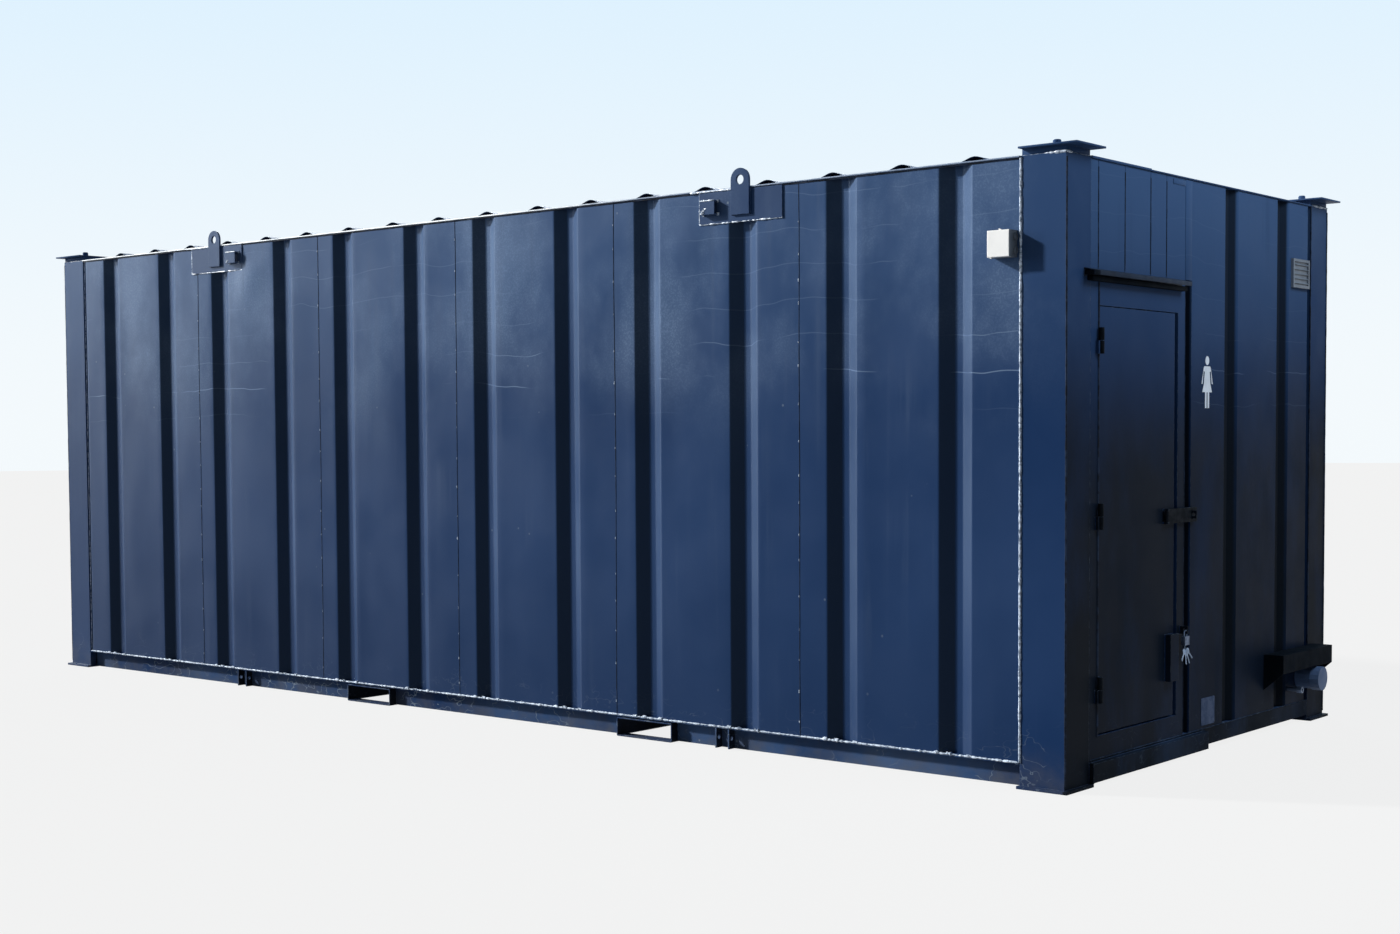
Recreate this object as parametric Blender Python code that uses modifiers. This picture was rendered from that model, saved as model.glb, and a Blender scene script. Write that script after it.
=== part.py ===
"""A 24 by 9 foot steel toilet cabin, as an assembly of separate pieces.

Metres, +Z up. The long side with the junction box faces -Y, the entrance end faces +X, and the origin is
on the ground at the middle of the whole footprint. Places are given as three distances: "along" back from
the outer face of the entrance end, "across" from the outer face of the near long side, and "up".
"""

import math

import bmesh
import bpy
from mathutils import Matrix, Vector

# Clearances
GAP = 0.0003
RUNNING = 0.0004
SWING = 0.004

# Shell
LENGTH = 7.234
WIDTH = 2.755
POST_TOP = 2.62
SHEET = 0.002

# Corner posts, base plates and stacking plates
POST_FACE = 0.2085
POST_WALL = 0.005
POST_RETURN = 0.040
BASE_PLATE_THICK = 0.012
BASE_PLATE_OUT = 0.022
BASE_PLATE_SIDE = 0.235
COLLAR_HEIGHT = 0.028
COLLAR_INSET = 0.003
STACK_PLATE_THICK = 0.008
STACK_PLATE_OUT_END = 0.060
STACK_PLATE_OUT_SIDE = 0.025
STACK_PLATE_LENGTH = 0.270
STACK_PLATE_WIDTH = 0.250
STACK_LUG_SIDE = 0.050
STACK_LUG_HEIGHT = 0.018
STACK_LUG_IN = 0.095

# Base frame
RAIL_TOP = 0.1077
RAIL_THICK = 0.008
RAIL_WEB_SET = 0.045
RAIL_WEB_THICK = 0.005
RAIL_FOOT = 0.004
RAIL_FOOT_WIDTH = 0.045
END_RAIL_FOOT = 0.030
END_RAIL_FLANGE = 0.055
FRAME_SHEET = 0.006
JOIST_WIDTH = 0.040
JOIST_PITCH = 0.560
JOIST_FOOT = 0.012
STUB_IN = 0.350
POCKET_WIDTH = 0.354
POCKET_HEIGHT = 0.093
POCKET_WALL = 0.006
POCKET_FIRST = 2.283
POCKET_SPREAD = 2.026
JACK_LUG_FRONT_IN = 1.797
JACK_LUG_REAR_IN = 1.788
JACK_LUG_SPREAD = 0.076
JACK_LUG_THICK = 0.008
JACK_LUG_HOLE = 0.010
STEP_REACH = 0.022
STEP_FOOT = 0.016
STEP_END = 1.330
STEP_SHEET = 0.004

# Wall sheets
GROOVE_WIDTH = 0.163
GROOVE_DEPTH = 0.028
GROOVE_RUN = 0.050
PANEL_PITCH = 1.1172
PANEL_SEAM = 1.340
PANEL_TRIM = 0.020
GROOVE_A = 0.3200
GROOVE_B = 0.9055
END_GROOVE_A_IN = 1.1605
END_GROOVE_B_IN = 0.5580
END_GROOVE_WIDTH = 0.146
REAR_GROOVE_PITCH = 0.5895
EDGE_STEP_WIDTH = 0.025
EDGE_STEP_DEPTH = 0.012
JAMB_RECESS_WIDTH = 0.063
JAMB_RECESS_DEPTH = 0.030
FAR_RECESS_WIDTH = 0.043
FAR_RECESS_DEPTH = 0.020

# Eaves and roof
EAVES_THICK = 0.006
EAVES_OUT = 0.006
EAVES_WIDTH = 0.046
EAVES_LEG_SET = 0.036
EAVES_LEG = 0.060
EAVES_LEG_THICK = 0.004
ROOF_INSET = 0.006
RIB_FIRST = 0.434
RIB_PITCH = 0.3636
RIB_BASE = 0.120
RIB_TOP = 0.060
RIB_HEIGHT = 0.020

# Lifting eyes
EYE_FRONT_IN = 1.662
EYE_REAR_IN = 1.6105
EYE_WIDTH = 0.106
EYE_THICK = 0.012
EYE_RISE = 0.087
EYE_FOOT = 0.031
EYE_HOLE = 0.0225
PAD_WIDTH = 0.483
PAD_HEIGHT = 0.147
PAD_DROP = 0.009
PAD_THICK = 0.006
PAD_SHIFT = 0.008
TIE_WIDTH = 0.086
TIE_HEIGHT = 0.065
TIE_REACH = 0.030
TIE_WALL = 0.006
TIE_DROP = 0.0825
TIE_OFFSET = 0.180

# Entrance
DOOR_LEFT = 0.2875
DOOR_WIDTH = 0.7155
DOOR_BOTTOM = 0.213
DOOR_TOP = 2.009
DOOR_THICK = 0.043
DOOR_SET = 0.003
DOOR_SKIN = 0.002
DOOR_GAP = 0.0045
DOOR_LOCK_GAP = 0.027
DOOR_END_GAP = 0.0035
FRAME_RIGHT = 1.100
FRAME_TOP = 2.124
FRAME_DEPTH = 0.049
STOP_WIDTH = 0.020
STOP_THICK = 0.008
THRESHOLD_TOP = 0.205
HINGE_OUT = 0.014
HINGE_BACK = 0.0085
HINGE_RADIUS = 0.011
HINGE_PIN = 0.006
HINGE_HALF = 0.055
HINGE_HEIGHTS = (0.400, 1.130, 1.865)
HINGE_LEAF = 0.024
HINGE_LIFT = 0.001
LOCK_BOX_WIDTH = 0.083
LOCK_BOX_HEIGHT = 0.210
LOCK_BOX_UP = 0.475
LOCK_BOX_REACH = 0.028
HASP_UP = 1.1075
HASP_PIVOT = 0.900
HASP_OUT = 0.014
HASP_RADIUS = 0.009
HASP_PIN = 0.004
HASP_BARREL = 0.048
HASP_EAR = 0.009
HASP_HEIGHT = 0.065
HASP_THICK = 0.006
HASP_END = 1.200
STAPLE_AT = 1.150
STAPLE_THICK = 0.008
STAPLE_REACH = 0.040
STAPLE_HEIGHT = 0.036
STAPLE_HOLE = 0.016
STAPLE_BASE = 0.005
STAPLE_BASE_END = 1.195
SLOT_CLEAR = 0.0025
PADLOCK_AT = 1.065
PADLOCK_UP = 0.590
PADLOCK_WIDTH = 0.044
PADLOCK_HEIGHT = 0.040
PADLOCK_THICK = 0.020
SHACKLE_ROD = 0.004
SHACKLE_SPAN = 0.026
SHACKLE_DROP = 0.024
CANOPY_START = 0.080
CANOPY_END = 1.150
CANOPY_REACH = 0.050
CANOPY_TOP = 2.165
CANOPY_FALL = 0.015
CANOPY_LIP = 0.032
CANOPY_SHEET = 0.0025
INFILL_LINES = (0.274, 0.513, 0.754, 0.909)
INFILL_LINE_WIDTH = 0.007
INFILL_LINE_DEPTH = 0.004

# Ventilator
VENT_IN = 0.358
VENT_DROP = 0.3535
VENT_WIDTH = 0.204
VENT_HEIGHT = 0.143
VENT_REACH = 0.014
VENT_RIM = 0.014
VENT_BACK = 0.004
VENT_SLATS = 5
VENT_SLAT_THICK = 0.0015
DUCT_RADIUS = 0.054
DUCT_WALL = 0.003
DUCT_DEPTH = 0.075
FAN_PIN = 0.004
FAN_HUB = 0.015
FAN_RADIUS = 0.048
FAN_BLADES = 5
FAN_DEPTH = 0.020

# Services
HOOD_IN = 0.135
HOOD_WIDTH = 0.620
HOOD_REACH = 0.100
HOOD_TOP = 0.390
HOOD_FRONT_FOOT = 0.302
HOOD_BACK_FOOT = 0.215
HOOD_SHEET = 0.0025
SOIL_IN = 0.315
SOIL_UP = 0.237
SOIL_RADIUS = 0.055
SOIL_WALL = 0.0032
SOIL_REACH = 0.118
CAP_RADIUS = 0.0605
CAP_DEPTH = 0.048
CAP_FACE = 0.006
INLET_IN = 0.455
INLET_UP = 0.190
INLET_RADIUS = 0.011
INLET_REACH = 0.052
INLET_UNION = 0.018
INLET_BACK = 0.350
BOX_FIRST = 0.226
BOX_WIDTH = 0.105
BOX_HEIGHT = 0.111
BOX_DROP = 0.3575
BOX_REACH = 0.065
BOX_LID = 0.018
BOX_WALL = 0.003
BOX_ROUND = 0.003
BOX_GLAND = 0.011
BOX_GLAND_OUT = 0.006

# Lining, floor and ceiling
LINING_SET = 0.050
LINING = 0.009
FLOOR_THICK = 0.027
CEILING_DROP = 0.170
CEILING_THICK = 0.009
DOORWAY_MARGIN = 0.012

# Cubicles
PANEL = 0.018
PANEL_TOP = 2.100
PANEL_FOOT = 0.290
FRONT_ACROSS = 1.150
CUBICLE_WIDTH = 0.950
DUCT_IN = 0.415
DUCT_START = 1.200
DUCT_TOP = 1.300
DUCT_PANEL = 0.012
DOOR_PANEL_WIDTH = 0.620
DOOR_PANEL_FROM = 0.190
HEAD_RAIL = 0.050
PIVOT_IN = 0.020
PIVOT_RADIUS = 0.005
PIVOT_LENGTH = 0.018
FOOT_SIDE = 0.030
SILL_HEIGHT = 0.040
BOLT_UP = 1.100
BOLT_LENGTH = 0.080
BOLT_HEIGHT = 0.022
BOLT_THICK = 0.008
BOLT_TRAVEL = 0.030
BOLT_INSET = 0.006
BOLT_GUIDE = 0.006
BOLT_KNOB = 0.007
BOLT_KNOB_IN = 0.018
BOLT_COVER = 0.003
BOLT_KEEP = 0.012

# WC, cistern and seat
PAN_RIM = 0.400
PAN_LENGTH = 0.520
PAN_WIDTH = 0.360
PAN_BOWL_LENGTH = 0.400
PAN_RIM_WALL = 0.030
PAN_BOWL_DEPTH = 0.170
PAN_FOOT_WIDTH = 0.230
PAN_BACK_WIDTH = 0.200
PAN_TRAP = 0.034
SEAT_THICK = 0.018
SEAT_WIDTH = 0.052
SEAT_HINGE_UP = 0.016
SEAT_PIN = 0.005
SEAT_BARREL = 0.010
SEAT_ARM = 0.060
SEAT_LUG_SPREAD = 0.150
SEAT_LUG_WIDTH = 0.024
SEAT_POST = 0.017
BRANCH_RADIUS = 0.045
CISTERN_WIDTH = 0.380
CISTERN_DEPTH = 0.130
CISTERN_HEIGHT = 0.300
CISTERN_UP = 0.990
MOULD_ROUND = 0.012
FLUSH_PIPE = 0.018
FLUSH_PIPE_BACK = 0.032
LEVER_ARM = 0.080
LEVER_SPINDLE = 0.006
LEVER_IN = 0.050
LEVER_OUT = 0.012
LEVER_THICK = 0.008

# Wash place
BASIN_START = 1.450
BASIN_WIDTH = 0.900
BASIN_REACH = 0.400
BASIN_HEIGHT = 0.140
BASIN_UP = 0.850
BASIN_WALL = 0.030
BASIN_LEDGE = 0.090
BASIN_BOWL = 0.110
BOWL_ROUND = 0.030
TAP_RADIUS = 0.016
TAP_HEIGHT = 0.110
TAP_SPOUT = 0.120
TAP_SPOUT_RADIUS = 0.009
TAP_LEVER = 0.080
TAP_STEM = 0.005
HEATER_WIDTH = 0.300
HEATER_DEPTH = 0.240
HEATER_HEIGHT = 0.420
HEATER_UP = 1.450
HEATER_FROM = 1.720
HEATER_ROUND = 0.020
LIGHT_LENGTH = 1.250
LIGHT_WIDTH = 0.090
LIGHT_DROP = 0.060
LIGHT_ROUND = 0.015

END_REACH = max(SOIL_REACH + CAP_FACE, HOOD_REACH, STACK_PLATE_OUT_END, STAPLE_REACH)
REAR_REACH = STACK_PLATE_OUT_END
NEAR_REACH = max(BOX_REACH, PAD_THICK + TIE_REACH, STACK_PLATE_OUT_SIDE)
FAR_REACH = max(PAD_THICK + TIE_REACH, STACK_PLATE_OUT_SIDE)
END_X = (LENGTH + REAR_REACH - END_REACH) / 2
NEAR_Y = (NEAR_REACH - FAR_REACH - WIDTH) / 2
WALL_BOTTOM = RAIL_TOP + GAP
WALL_TOP = POST_TOP - EAVES_THICK - GAP
FLOOR_BOTTOM = RAIL_TOP + GAP
FLOOR_TOP = FLOOR_BOTTOM + FLOOR_THICK
BETWEEN_POSTS = POST_FACE + GAP
PAD_TOP = POST_TOP - PAD_DROP
PAD_BOTTOM = PAD_TOP - PAD_HEIGHT
EYE_TOP = POST_TOP + EYE_RISE
EYE_BOTTOM = PAD_BOTTOM + EYE_FOOT
TIE_UP = POST_TOP - TIE_DROP
BOX_UP = POST_TOP - BOX_DROP
VENT_UP = POST_TOP - VENT_DROP
CEILING_UP = POST_TOP - CEILING_DROP
VENT_ACROSS = WIDTH - VENT_IN
HOOD_END = WIDTH - HOOD_IN
HOOD_START = HOOD_END - HOOD_WIDTH
SOIL_ACROSS = WIDTH - SOIL_IN
INLET_ACROSS = WIDTH - INLET_IN
DUCT_FACE = WIDTH - DUCT_IN
DOOR_RIGHT = DOOR_LEFT + DOOR_WIDTH
HINGE_ACROSS = DOOR_LEFT - HINGE_BACK
ROOM_IN = LINING_SET + LINING + GAP
RIM_UP = FLOOR_TOP + PAN_RIM
BASIN_TOP = FLOOR_TOP + BASIN_UP

for old in list(bpy.data.objects):
    bpy.data.objects.remove(old, do_unlink=True)

parts = bpy.data.collections.new("Toilet_Cabin")
cutters = bpy.data.collections.new("Cutters")
for collection in (parts, cutters):
    bpy.context.scene.collection.children.link(collection)


def material(name, colour, roughness, metallic=0.0):
    """A plain Principled material."""
    made = bpy.data.materials.new(name)
    made.use_nodes = True
    shader = made.node_tree.nodes["Principled BSDF"]
    shader.inputs["Base Color"].default_value = (*colour, 1.0)
    shader.inputs["Roughness"].default_value = roughness
    shader.inputs["Metallic"].default_value = metallic
    made.diffuse_color = (*colour, 1.0)
    return made


NAVY = material("navy_paint", (0.022, 0.048, 0.105), 0.38)
BLACK_STEEL = material("black_steel", (0.012, 0.014, 0.018), 0.45)
BARE_STEEL = material("bare_steel", (0.55, 0.56, 0.58), 0.35, 1.0)
WHITE_PLASTIC = material("white_plastic", (0.80, 0.81, 0.80), 0.45)
GREY_PLASTIC = material("grey_plastic", (0.30, 0.33, 0.37), 0.50)
CERAMIC = material("white_ceramic", (0.86, 0.86, 0.84), 0.12)
VINYL = material("floor_vinyl", (0.22, 0.24, 0.26), 0.60)
BOARD = material("white_board", (0.78, 0.79, 0.78), 0.55)
LAMINATE = material("blue_laminate", (0.30, 0.42, 0.52), 0.40)
CHROME = material("chrome", (0.80, 0.81, 0.82), 0.10, 1.0)


def at(along, across, up):
    """The point at these distances from the entrance end, the near side and the ground."""
    return Vector((END_X - along, NEAR_Y + across, up))


def add_box(bm, along, across, up):
    """A box between two distances each way."""
    low = at(max(along), min(across), min(up))
    high = at(min(along), max(across), max(up))
    place = Matrix.Translation((low + high) / 2) @ Matrix.Diagonal((*(high - low), 1.0))
    return bmesh.ops.create_cube(bm, size=1.0, matrix=place)["verts"]


def add_rod(bm, start, end, radius, sides=16):
    """A round bar from one point to another."""
    run = end - start
    turn = Vector((0, 0, 1)).rotation_difference(run).to_matrix().to_4x4()
    bmesh.ops.create_cone(
        bm,
        cap_ends=True,
        segments=sides,
        radius1=radius,
        radius2=radius,
        depth=run.length,
        matrix=Matrix.Translation((start + end) / 2) @ turn,
    )


def curve_mesh(curve):
    """The mesh that a curve makes, with its caps still loose."""
    guide = bpy.data.objects.new(curve.name, curve)
    cutters.objects.link(guide)
    bpy.context.view_layer.update()
    mesh = bpy.data.meshes.new_from_object(guide.evaluated_get(bpy.context.evaluated_depsgraph_get()))
    bpy.data.objects.remove(guide, do_unlink=True)
    bpy.data.curves.remove(curve)
    return mesh


def add_prism(bm, outline, run):
    """A closed flat outline of points, as a filled curve, pulled straight along a vector."""
    turn = run.to_track_quat("Z", "Y").to_matrix().to_4x4()
    place = Matrix.Translation(outline[0] + run / 2) @ turn
    curve = bpy.data.curves.new("outline", "CURVE")
    curve.dimensions = "2D"
    curve.fill_mode = "BOTH"
    curve.extrude = run.length / 2
    spline = curve.splines.new("POLY")
    spline.points.add(len(outline) - 1)
    spline.use_cyclic_u = True
    for point, corner_at in zip(spline.points, outline):
        flat = place.inverted() @ corner_at
        point.co = (flat.x, flat.y, 0.0, 1.0)
    mesh = curve_mesh(curve)
    mesh.transform(place)
    bm.from_mesh(mesh)
    bpy.data.meshes.remove(mesh)
    bmesh.ops.remove_doubles(bm, verts=bm.verts, dist=1e-6)


def add_sheet(bm, line, run):
    """An open line of points, pulled straight along a vector into a surface."""
    verts = [bm.verts.new(point) for point in line]
    edges = [bm.edges.new(pair) for pair in zip(verts, verts[1:])]
    pulled = bmesh.ops.extrude_edge_only(bm, edges=edges)["geom"]
    moved = [item for item in pulled if isinstance(item, bmesh.types.BMVert)]
    bmesh.ops.translate(bm, verts=moved, vec=run)


def boxes(*places):
    """A mesh of separate boxes, each given by its three pairs of distances."""
    bm = bmesh.new()
    for along, across, up in places:
        add_box(bm, along, across, up)
    return bm


def round_edges(bm, edges, radius, segments):
    """Rounds some edges of a mesh."""
    bmesh.ops.bevel(
        bm,
        geom=edges,
        offset=radius,
        segments=segments,
        profile=0.5,
        affect="EDGES",
        material=-1,
    )


def rods(*places):
    """A mesh of separate round bars, each given by its start, end and radius."""
    bm = bmesh.new()
    for start, end, radius in places:
        add_rod(bm, start, end, radius)
    return bm


def finish_mesh(name, bm, origin):
    bmesh.ops.recalc_face_normals(bm, faces=bm.faces)
    bmesh.ops.translate(bm, verts=bm.verts, vec=-origin)
    mesh = bpy.data.meshes.new(name)
    bm.to_mesh(mesh)
    bm.free()
    return mesh


def add_part(name, bm, finish, origin=None):
    """A piece of the cabin. Its origin is the given point, which on a moving piece is on its axis."""
    origin = at(LENGTH / 2, WIDTH / 2, 0) if origin is None else origin
    obj = bpy.data.objects.new(name, finish_mesh(name, bm, origin))
    obj.location = origin
    obj.data.materials.append(finish)
    parts.objects.link(obj)
    return obj


def boolean(obj, bm, operation):
    """Joins a shape to a piece, or cuts it away."""
    name = f"{obj.name}_{operation.lower()}_{len(obj.modifiers)}"
    other = bpy.data.objects.new(name, finish_mesh(name, bm, obj.location))
    other.location = obj.location
    other.hide_render = True
    other.display_type = "WIRE"
    cutters.objects.link(other)
    modifier = obj.modifiers.new(name, "BOOLEAN")
    modifier.operation = operation
    modifier.solver = "EXACT"
    modifier.use_self = operation == "UNION"
    modifier.object = other


def join(obj, bm):
    boolean(obj, bm, "UNION")


def cut(obj, bm):
    boolean(obj, bm, "DIFFERENCE")


def solidify(obj, thickness, side):
    """Gives a surface its thickness, on the side that its faces look to (1) or the other (-1)."""
    modifier = obj.modifiers.new("thickness", "SOLIDIFY")
    modifier.thickness = thickness
    modifier.offset = side
    modifier.use_even_offset = True


def smooth(obj, angle=40.0):
    """Shades the round faces smooth."""
    obj.data.shade_smooth()
    obj.data.set_sharp_from_angle(angle=math.radians(angle))


def corner(number):
    """Maps distances from the end face and the side face at one of the four corners to along and across."""
    rear = number in (2, 4)
    far = number in (3, 4)

    def place(from_end, from_side):
        along = LENGTH - from_end if rear else from_end
        across = WIDTH - from_side if far else from_side
        return along, across

    return place


def corner_box(bm, place, from_end, from_side, up):
    """A box at a corner, between two distances from its end face and two from its side face."""
    first = place(from_end[0], from_side[0])
    last = place(from_end[1], from_side[1])
    add_box(bm, (first[0], last[0]), (first[1], last[1]), up)


def spread(start, end, pitch):
    """Even places from start to end, about a pitch apart."""
    count = max(1, round((end - start) / pitch))
    return [start + (end - start) * i / count for i in range(count + 1)]


# Base frame: folded side rails with a set-back web, end rails, joists, jacking lugs and the step
pocket_centres = (POCKET_FIRST, POCKET_FIRST + POCKET_SPREAD)
rail_start = BASE_PLATE_SIDE - BASE_PLATE_OUT + GAP
rail_end = LENGTH - rail_start


def side_rail(bm, far):
    web = RAIL_WEB_SET + RAIL_WEB_THICK
    foot = RAIL_WEB_SET + RAIL_FOOT_WIDTH
    profile = [
        (0, RAIL_TOP - RAIL_THICK),
        (0, RAIL_TOP),
        (web, RAIL_TOP),
        (web, RAIL_FOOT + RAIL_WEB_THICK),
        (foot, RAIL_FOOT + RAIL_WEB_THICK),
        (foot, RAIL_FOOT),
        (RAIL_WEB_SET, RAIL_FOOT),
        (RAIL_WEB_SET, RAIL_TOP - RAIL_THICK),
    ]
    line = [at(rail_start, WIDTH - a if far else a, up) for a, up in profile]
    add_prism(bm, line, at(rail_end, 0, 0) - at(rail_start, 0, 0))


base = bmesh.new()
side_rail(base, False)
base_frame = add_part("base_frame", base, NAVY)
far_rail = bmesh.new()
side_rail(far_rail, True)
join(base_frame, far_rail)

zones = []
zone_start = rail_start
for centre in pocket_centres:
    zones.append((zone_start, centre - POCKET_WIDTH / 2))
    zone_start = centre + POCKET_WIDTH / 2
zones.append((zone_start, rail_end))
inner_web = RAIL_WEB_SET + RAIL_WEB_THICK / 2
joist_webs = bmesh.new()
joist_tops = bmesh.new()
joist_run = (inner_web, WIDTH - inner_web)
for start, end in zones:
    for middle in spread(start + 1.5 * JOIST_WIDTH, end - 1.5 * JOIST_WIDTH, JOIST_PITCH):
        web_sides = (middle - FRAME_SHEET / 2, middle + FRAME_SHEET / 2)
        top_sides = (middle - JOIST_WIDTH / 2, middle + JOIST_WIDTH / 2)
        add_box(joist_webs, web_sides, joist_run, (JOIST_FOOT, RAIL_TOP - FRAME_SHEET / 2))
        add_box(joist_tops, top_sides, joist_run, (RAIL_TOP - 1.5 * FRAME_SHEET, RAIL_TOP - FRAME_SHEET / 3))
join(base_frame, joist_webs)
join(base_frame, joist_tops)

first_joist = zones[0][0] + 1.5 * JOIST_WIDTH
stubs = bmesh.new()
stub_up = (JOIST_FOOT + END_RAIL_FOOT, RAIL_TOP - 2.2 * FRAME_SHEET)
for middle in (STUB_IN, WIDTH - STUB_IN):
    stub_sides = (middle - FRAME_SHEET / 2, middle + FRAME_SHEET / 2)
    for reach in ((RAIL_WEB_THICK / 2, first_joist), (LENGTH - first_joist, LENGTH - RAIL_WEB_THICK / 2)):
        add_box(stubs, reach, stub_sides, stub_up)
join(base_frame, stubs)

end_rails = bmesh.new()
for rear in (False, True):
    profile = [
        (0, END_RAIL_FOOT),
        (0, RAIL_TOP),
        (END_RAIL_FLANGE, RAIL_TOP),
        (END_RAIL_FLANGE, RAIL_TOP - RAIL_WEB_THICK),
        (RAIL_WEB_THICK, RAIL_TOP - RAIL_WEB_THICK),
        (RAIL_WEB_THICK, END_RAIL_FOOT),
    ]
    line = [at(LENGTH - a if rear else a, BETWEEN_POSTS, up) for a, up in profile]
    add_prism(end_rails, line, Vector((0, WIDTH - 2 * BETWEEN_POSTS, 0)))
join(base_frame, end_rails)

lugs = bmesh.new()
lug_holes = bmesh.new()
lug_middle = RAIL_WEB_SET / 2
for centre in (JACK_LUG_FRONT_IN, LENGTH - JACK_LUG_REAR_IN):
    for side in (-1, 1):
        middle = centre + side * JACK_LUG_SPREAD / 2
        sides = (middle - JACK_LUG_THICK / 2, middle + JACK_LUG_THICK / 2)
        for far in (False, True):
            reach = (RAIL_WEB_THICK / 2, inner_web)
            reach = tuple(WIDTH - a for a in reach) if far else reach
            add_box(lugs, sides, reach, (RAIL_FOOT, RAIL_TOP - RAIL_THICK / 2))
            across = WIDTH - lug_middle if far else lug_middle
            hole = [at(a, across, RAIL_TOP / 2) for a in (sides[0] - 0.01, sides[1] + 0.01)]
            add_rod(lug_holes, hole[0], hole[1], JACK_LUG_HOLE, 12)
join(base_frame, lugs)

step = bmesh.new()
step_start = BASE_PLATE_SIDE - BASE_PLATE_OUT + GAP
step_top = RAIL_TOP - RAIL_THICK
profile = [
    (RAIL_WEB_THICK / 2, step_top),
    (-STEP_REACH, step_top - STEP_SHEET),
    (-STEP_REACH, STEP_FOOT),
    (-STEP_REACH + STEP_SHEET, STEP_FOOT),
    (-STEP_REACH + STEP_SHEET, step_top - 3 * STEP_SHEET),
    (RAIL_WEB_THICK / 2, step_top - 2 * STEP_SHEET),
]
add_prism(step, [at(a, step_start, up) for a, up in profile], Vector((0, STEP_END - step_start, 0)))
join(base_frame, step)
cut(base_frame, lug_holes)

pocket_room = bmesh.new()
for centre in pocket_centres:
    half = POCKET_WIDTH / 2 + GAP
    room_up = (-0.01, POCKET_HEIGHT + GAP)
    add_box(pocket_room, (centre - half, centre + half), (-0.01, WIDTH + 0.01), room_up)
cut(base_frame, pocket_room)

# Fork pockets: rectangular tubes right through the base, from side to side
for name, centre in zip(("fork_pocket_front", "fork_pocket_rear"), pocket_centres):
    half = POCKET_WIDTH / 2
    pocket = add_part(name, boxes(((centre - half, centre + half), (0, WIDTH), (0, POCKET_HEIGHT))), NAVY)
    inside = half - POCKET_WALL
    inside_up = (POCKET_WALL, POCKET_HEIGHT - POCKET_WALL)
    cut(pocket, boxes(((centre - inside, centre + inside), (-0.02, WIDTH + 0.02), inside_up)))

# Corner posts: folded plate with two faces and two returns, on a base plate
for number in (1, 2, 3, 4):
    place = corner(number)
    profile = [
        (0, 0),
        (POST_FACE, 0),
        (POST_FACE, POST_RETURN),
        (POST_FACE - POST_WALL, POST_RETURN),
        (POST_FACE - POST_WALL, POST_WALL),
        (POST_WALL, POST_WALL),
        (POST_WALL, POST_FACE - POST_WALL),
        (POST_RETURN, POST_FACE - POST_WALL),
        (POST_RETURN, POST_FACE),
        (0, POST_FACE),
    ]
    post = bmesh.new()
    foot = BASE_PLATE_THICK / 2
    add_prism(post, [at(*place(u, v), foot) for u, v in profile], Vector((0, 0, POST_TOP - foot)))
    post = add_part(f"corner_post_{number}", post, NAVY)
    plate = bmesh.new()
    reach = (-BASE_PLATE_OUT, BASE_PLATE_SIDE - BASE_PLATE_OUT)
    corner_box(plate, place, reach, reach, (0, BASE_PLATE_THICK))
    join(post, plate)

# Stacking plates: a plate on a collar on each post, with a locating lug
collar_top = POST_TOP + COLLAR_HEIGHT
plate_top = collar_top + STACK_PLATE_THICK
for number in (1, 2, 3, 4):
    place = corner(number)
    plate = bmesh.new()
    reach_end = (-STACK_PLATE_OUT_END, STACK_PLATE_LENGTH - STACK_PLATE_OUT_END)
    reach_side = (-STACK_PLATE_OUT_SIDE, STACK_PLATE_WIDTH - STACK_PLATE_OUT_SIDE)
    corner_box(plate, place, reach_end, reach_side, (collar_top, plate_top))
    plate = add_part(f"stacking_plate_{number}", plate, NAVY)
    collar = bmesh.new()
    reach = (COLLAR_INSET, POST_FACE - COLLAR_INSET)
    corner_box(collar, place, reach, reach, (POST_TOP + GAP, collar_top + STACK_PLATE_THICK / 2))
    join(plate, collar)
    lug = bmesh.new()
    reach = (STACK_LUG_IN - STACK_LUG_SIDE / 2, STACK_LUG_IN + STACK_LUG_SIDE / 2)
    corner_box(lug, place, reach, reach, (collar_top + STACK_PLATE_THICK / 2, plate_top + STACK_LUG_HEIGHT))
    join(plate, lug)


def groove(centre, width):
    """The four bends of a pressed groove, as distances along the wall and depths."""
    half = width / 2
    return [
        (centre - half, 0),
        (centre - half + GROOVE_RUN, GROOVE_DEPTH),
        (centre + half - GROOVE_RUN, GROOVE_DEPTH),
        (centre + half, 0),
    ]


# Side walls: six pressed panels of two grooves each, welded edge to edge
side_line = [(BETWEEN_POSTS, 0)]
panel_count = int((LENGTH - PANEL_SEAM - BETWEEN_POSTS) / PANEL_PITCH) + 1
for panel in range(panel_count):
    seam = PANEL_SEAM + (panel - 1) * PANEL_PITCH
    trim = PANEL_TRIM if panel == 0 else 0.0
    side_line += groove(seam + GROOVE_A - trim, GROOVE_WIDTH)
    side_line += groove(seam + GROOVE_B - trim, GROOVE_WIDTH)
step_at = LENGTH - BETWEEN_POSTS - EDGE_STEP_WIDTH
side_line += [(step_at - EDGE_STEP_DEPTH / 4, 0), (step_at, EDGE_STEP_DEPTH)]
side_line += [(LENGTH - BETWEEN_POSTS, EDGE_STEP_DEPTH)]
wall_rise = Vector((0, 0, WALL_TOP - WALL_BOTTOM))
for name, far in (("side_wall_left", False), ("side_wall_right", True)):
    wall = bmesh.new()
    line = [at(a, WIDTH - depth if far else depth, WALL_BOTTOM) for a, depth in side_line]
    add_sheet(wall, line, wall_rise)
    wall = add_part(name, wall, NAVY)
    solidify(wall, SHEET, -1)

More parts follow.
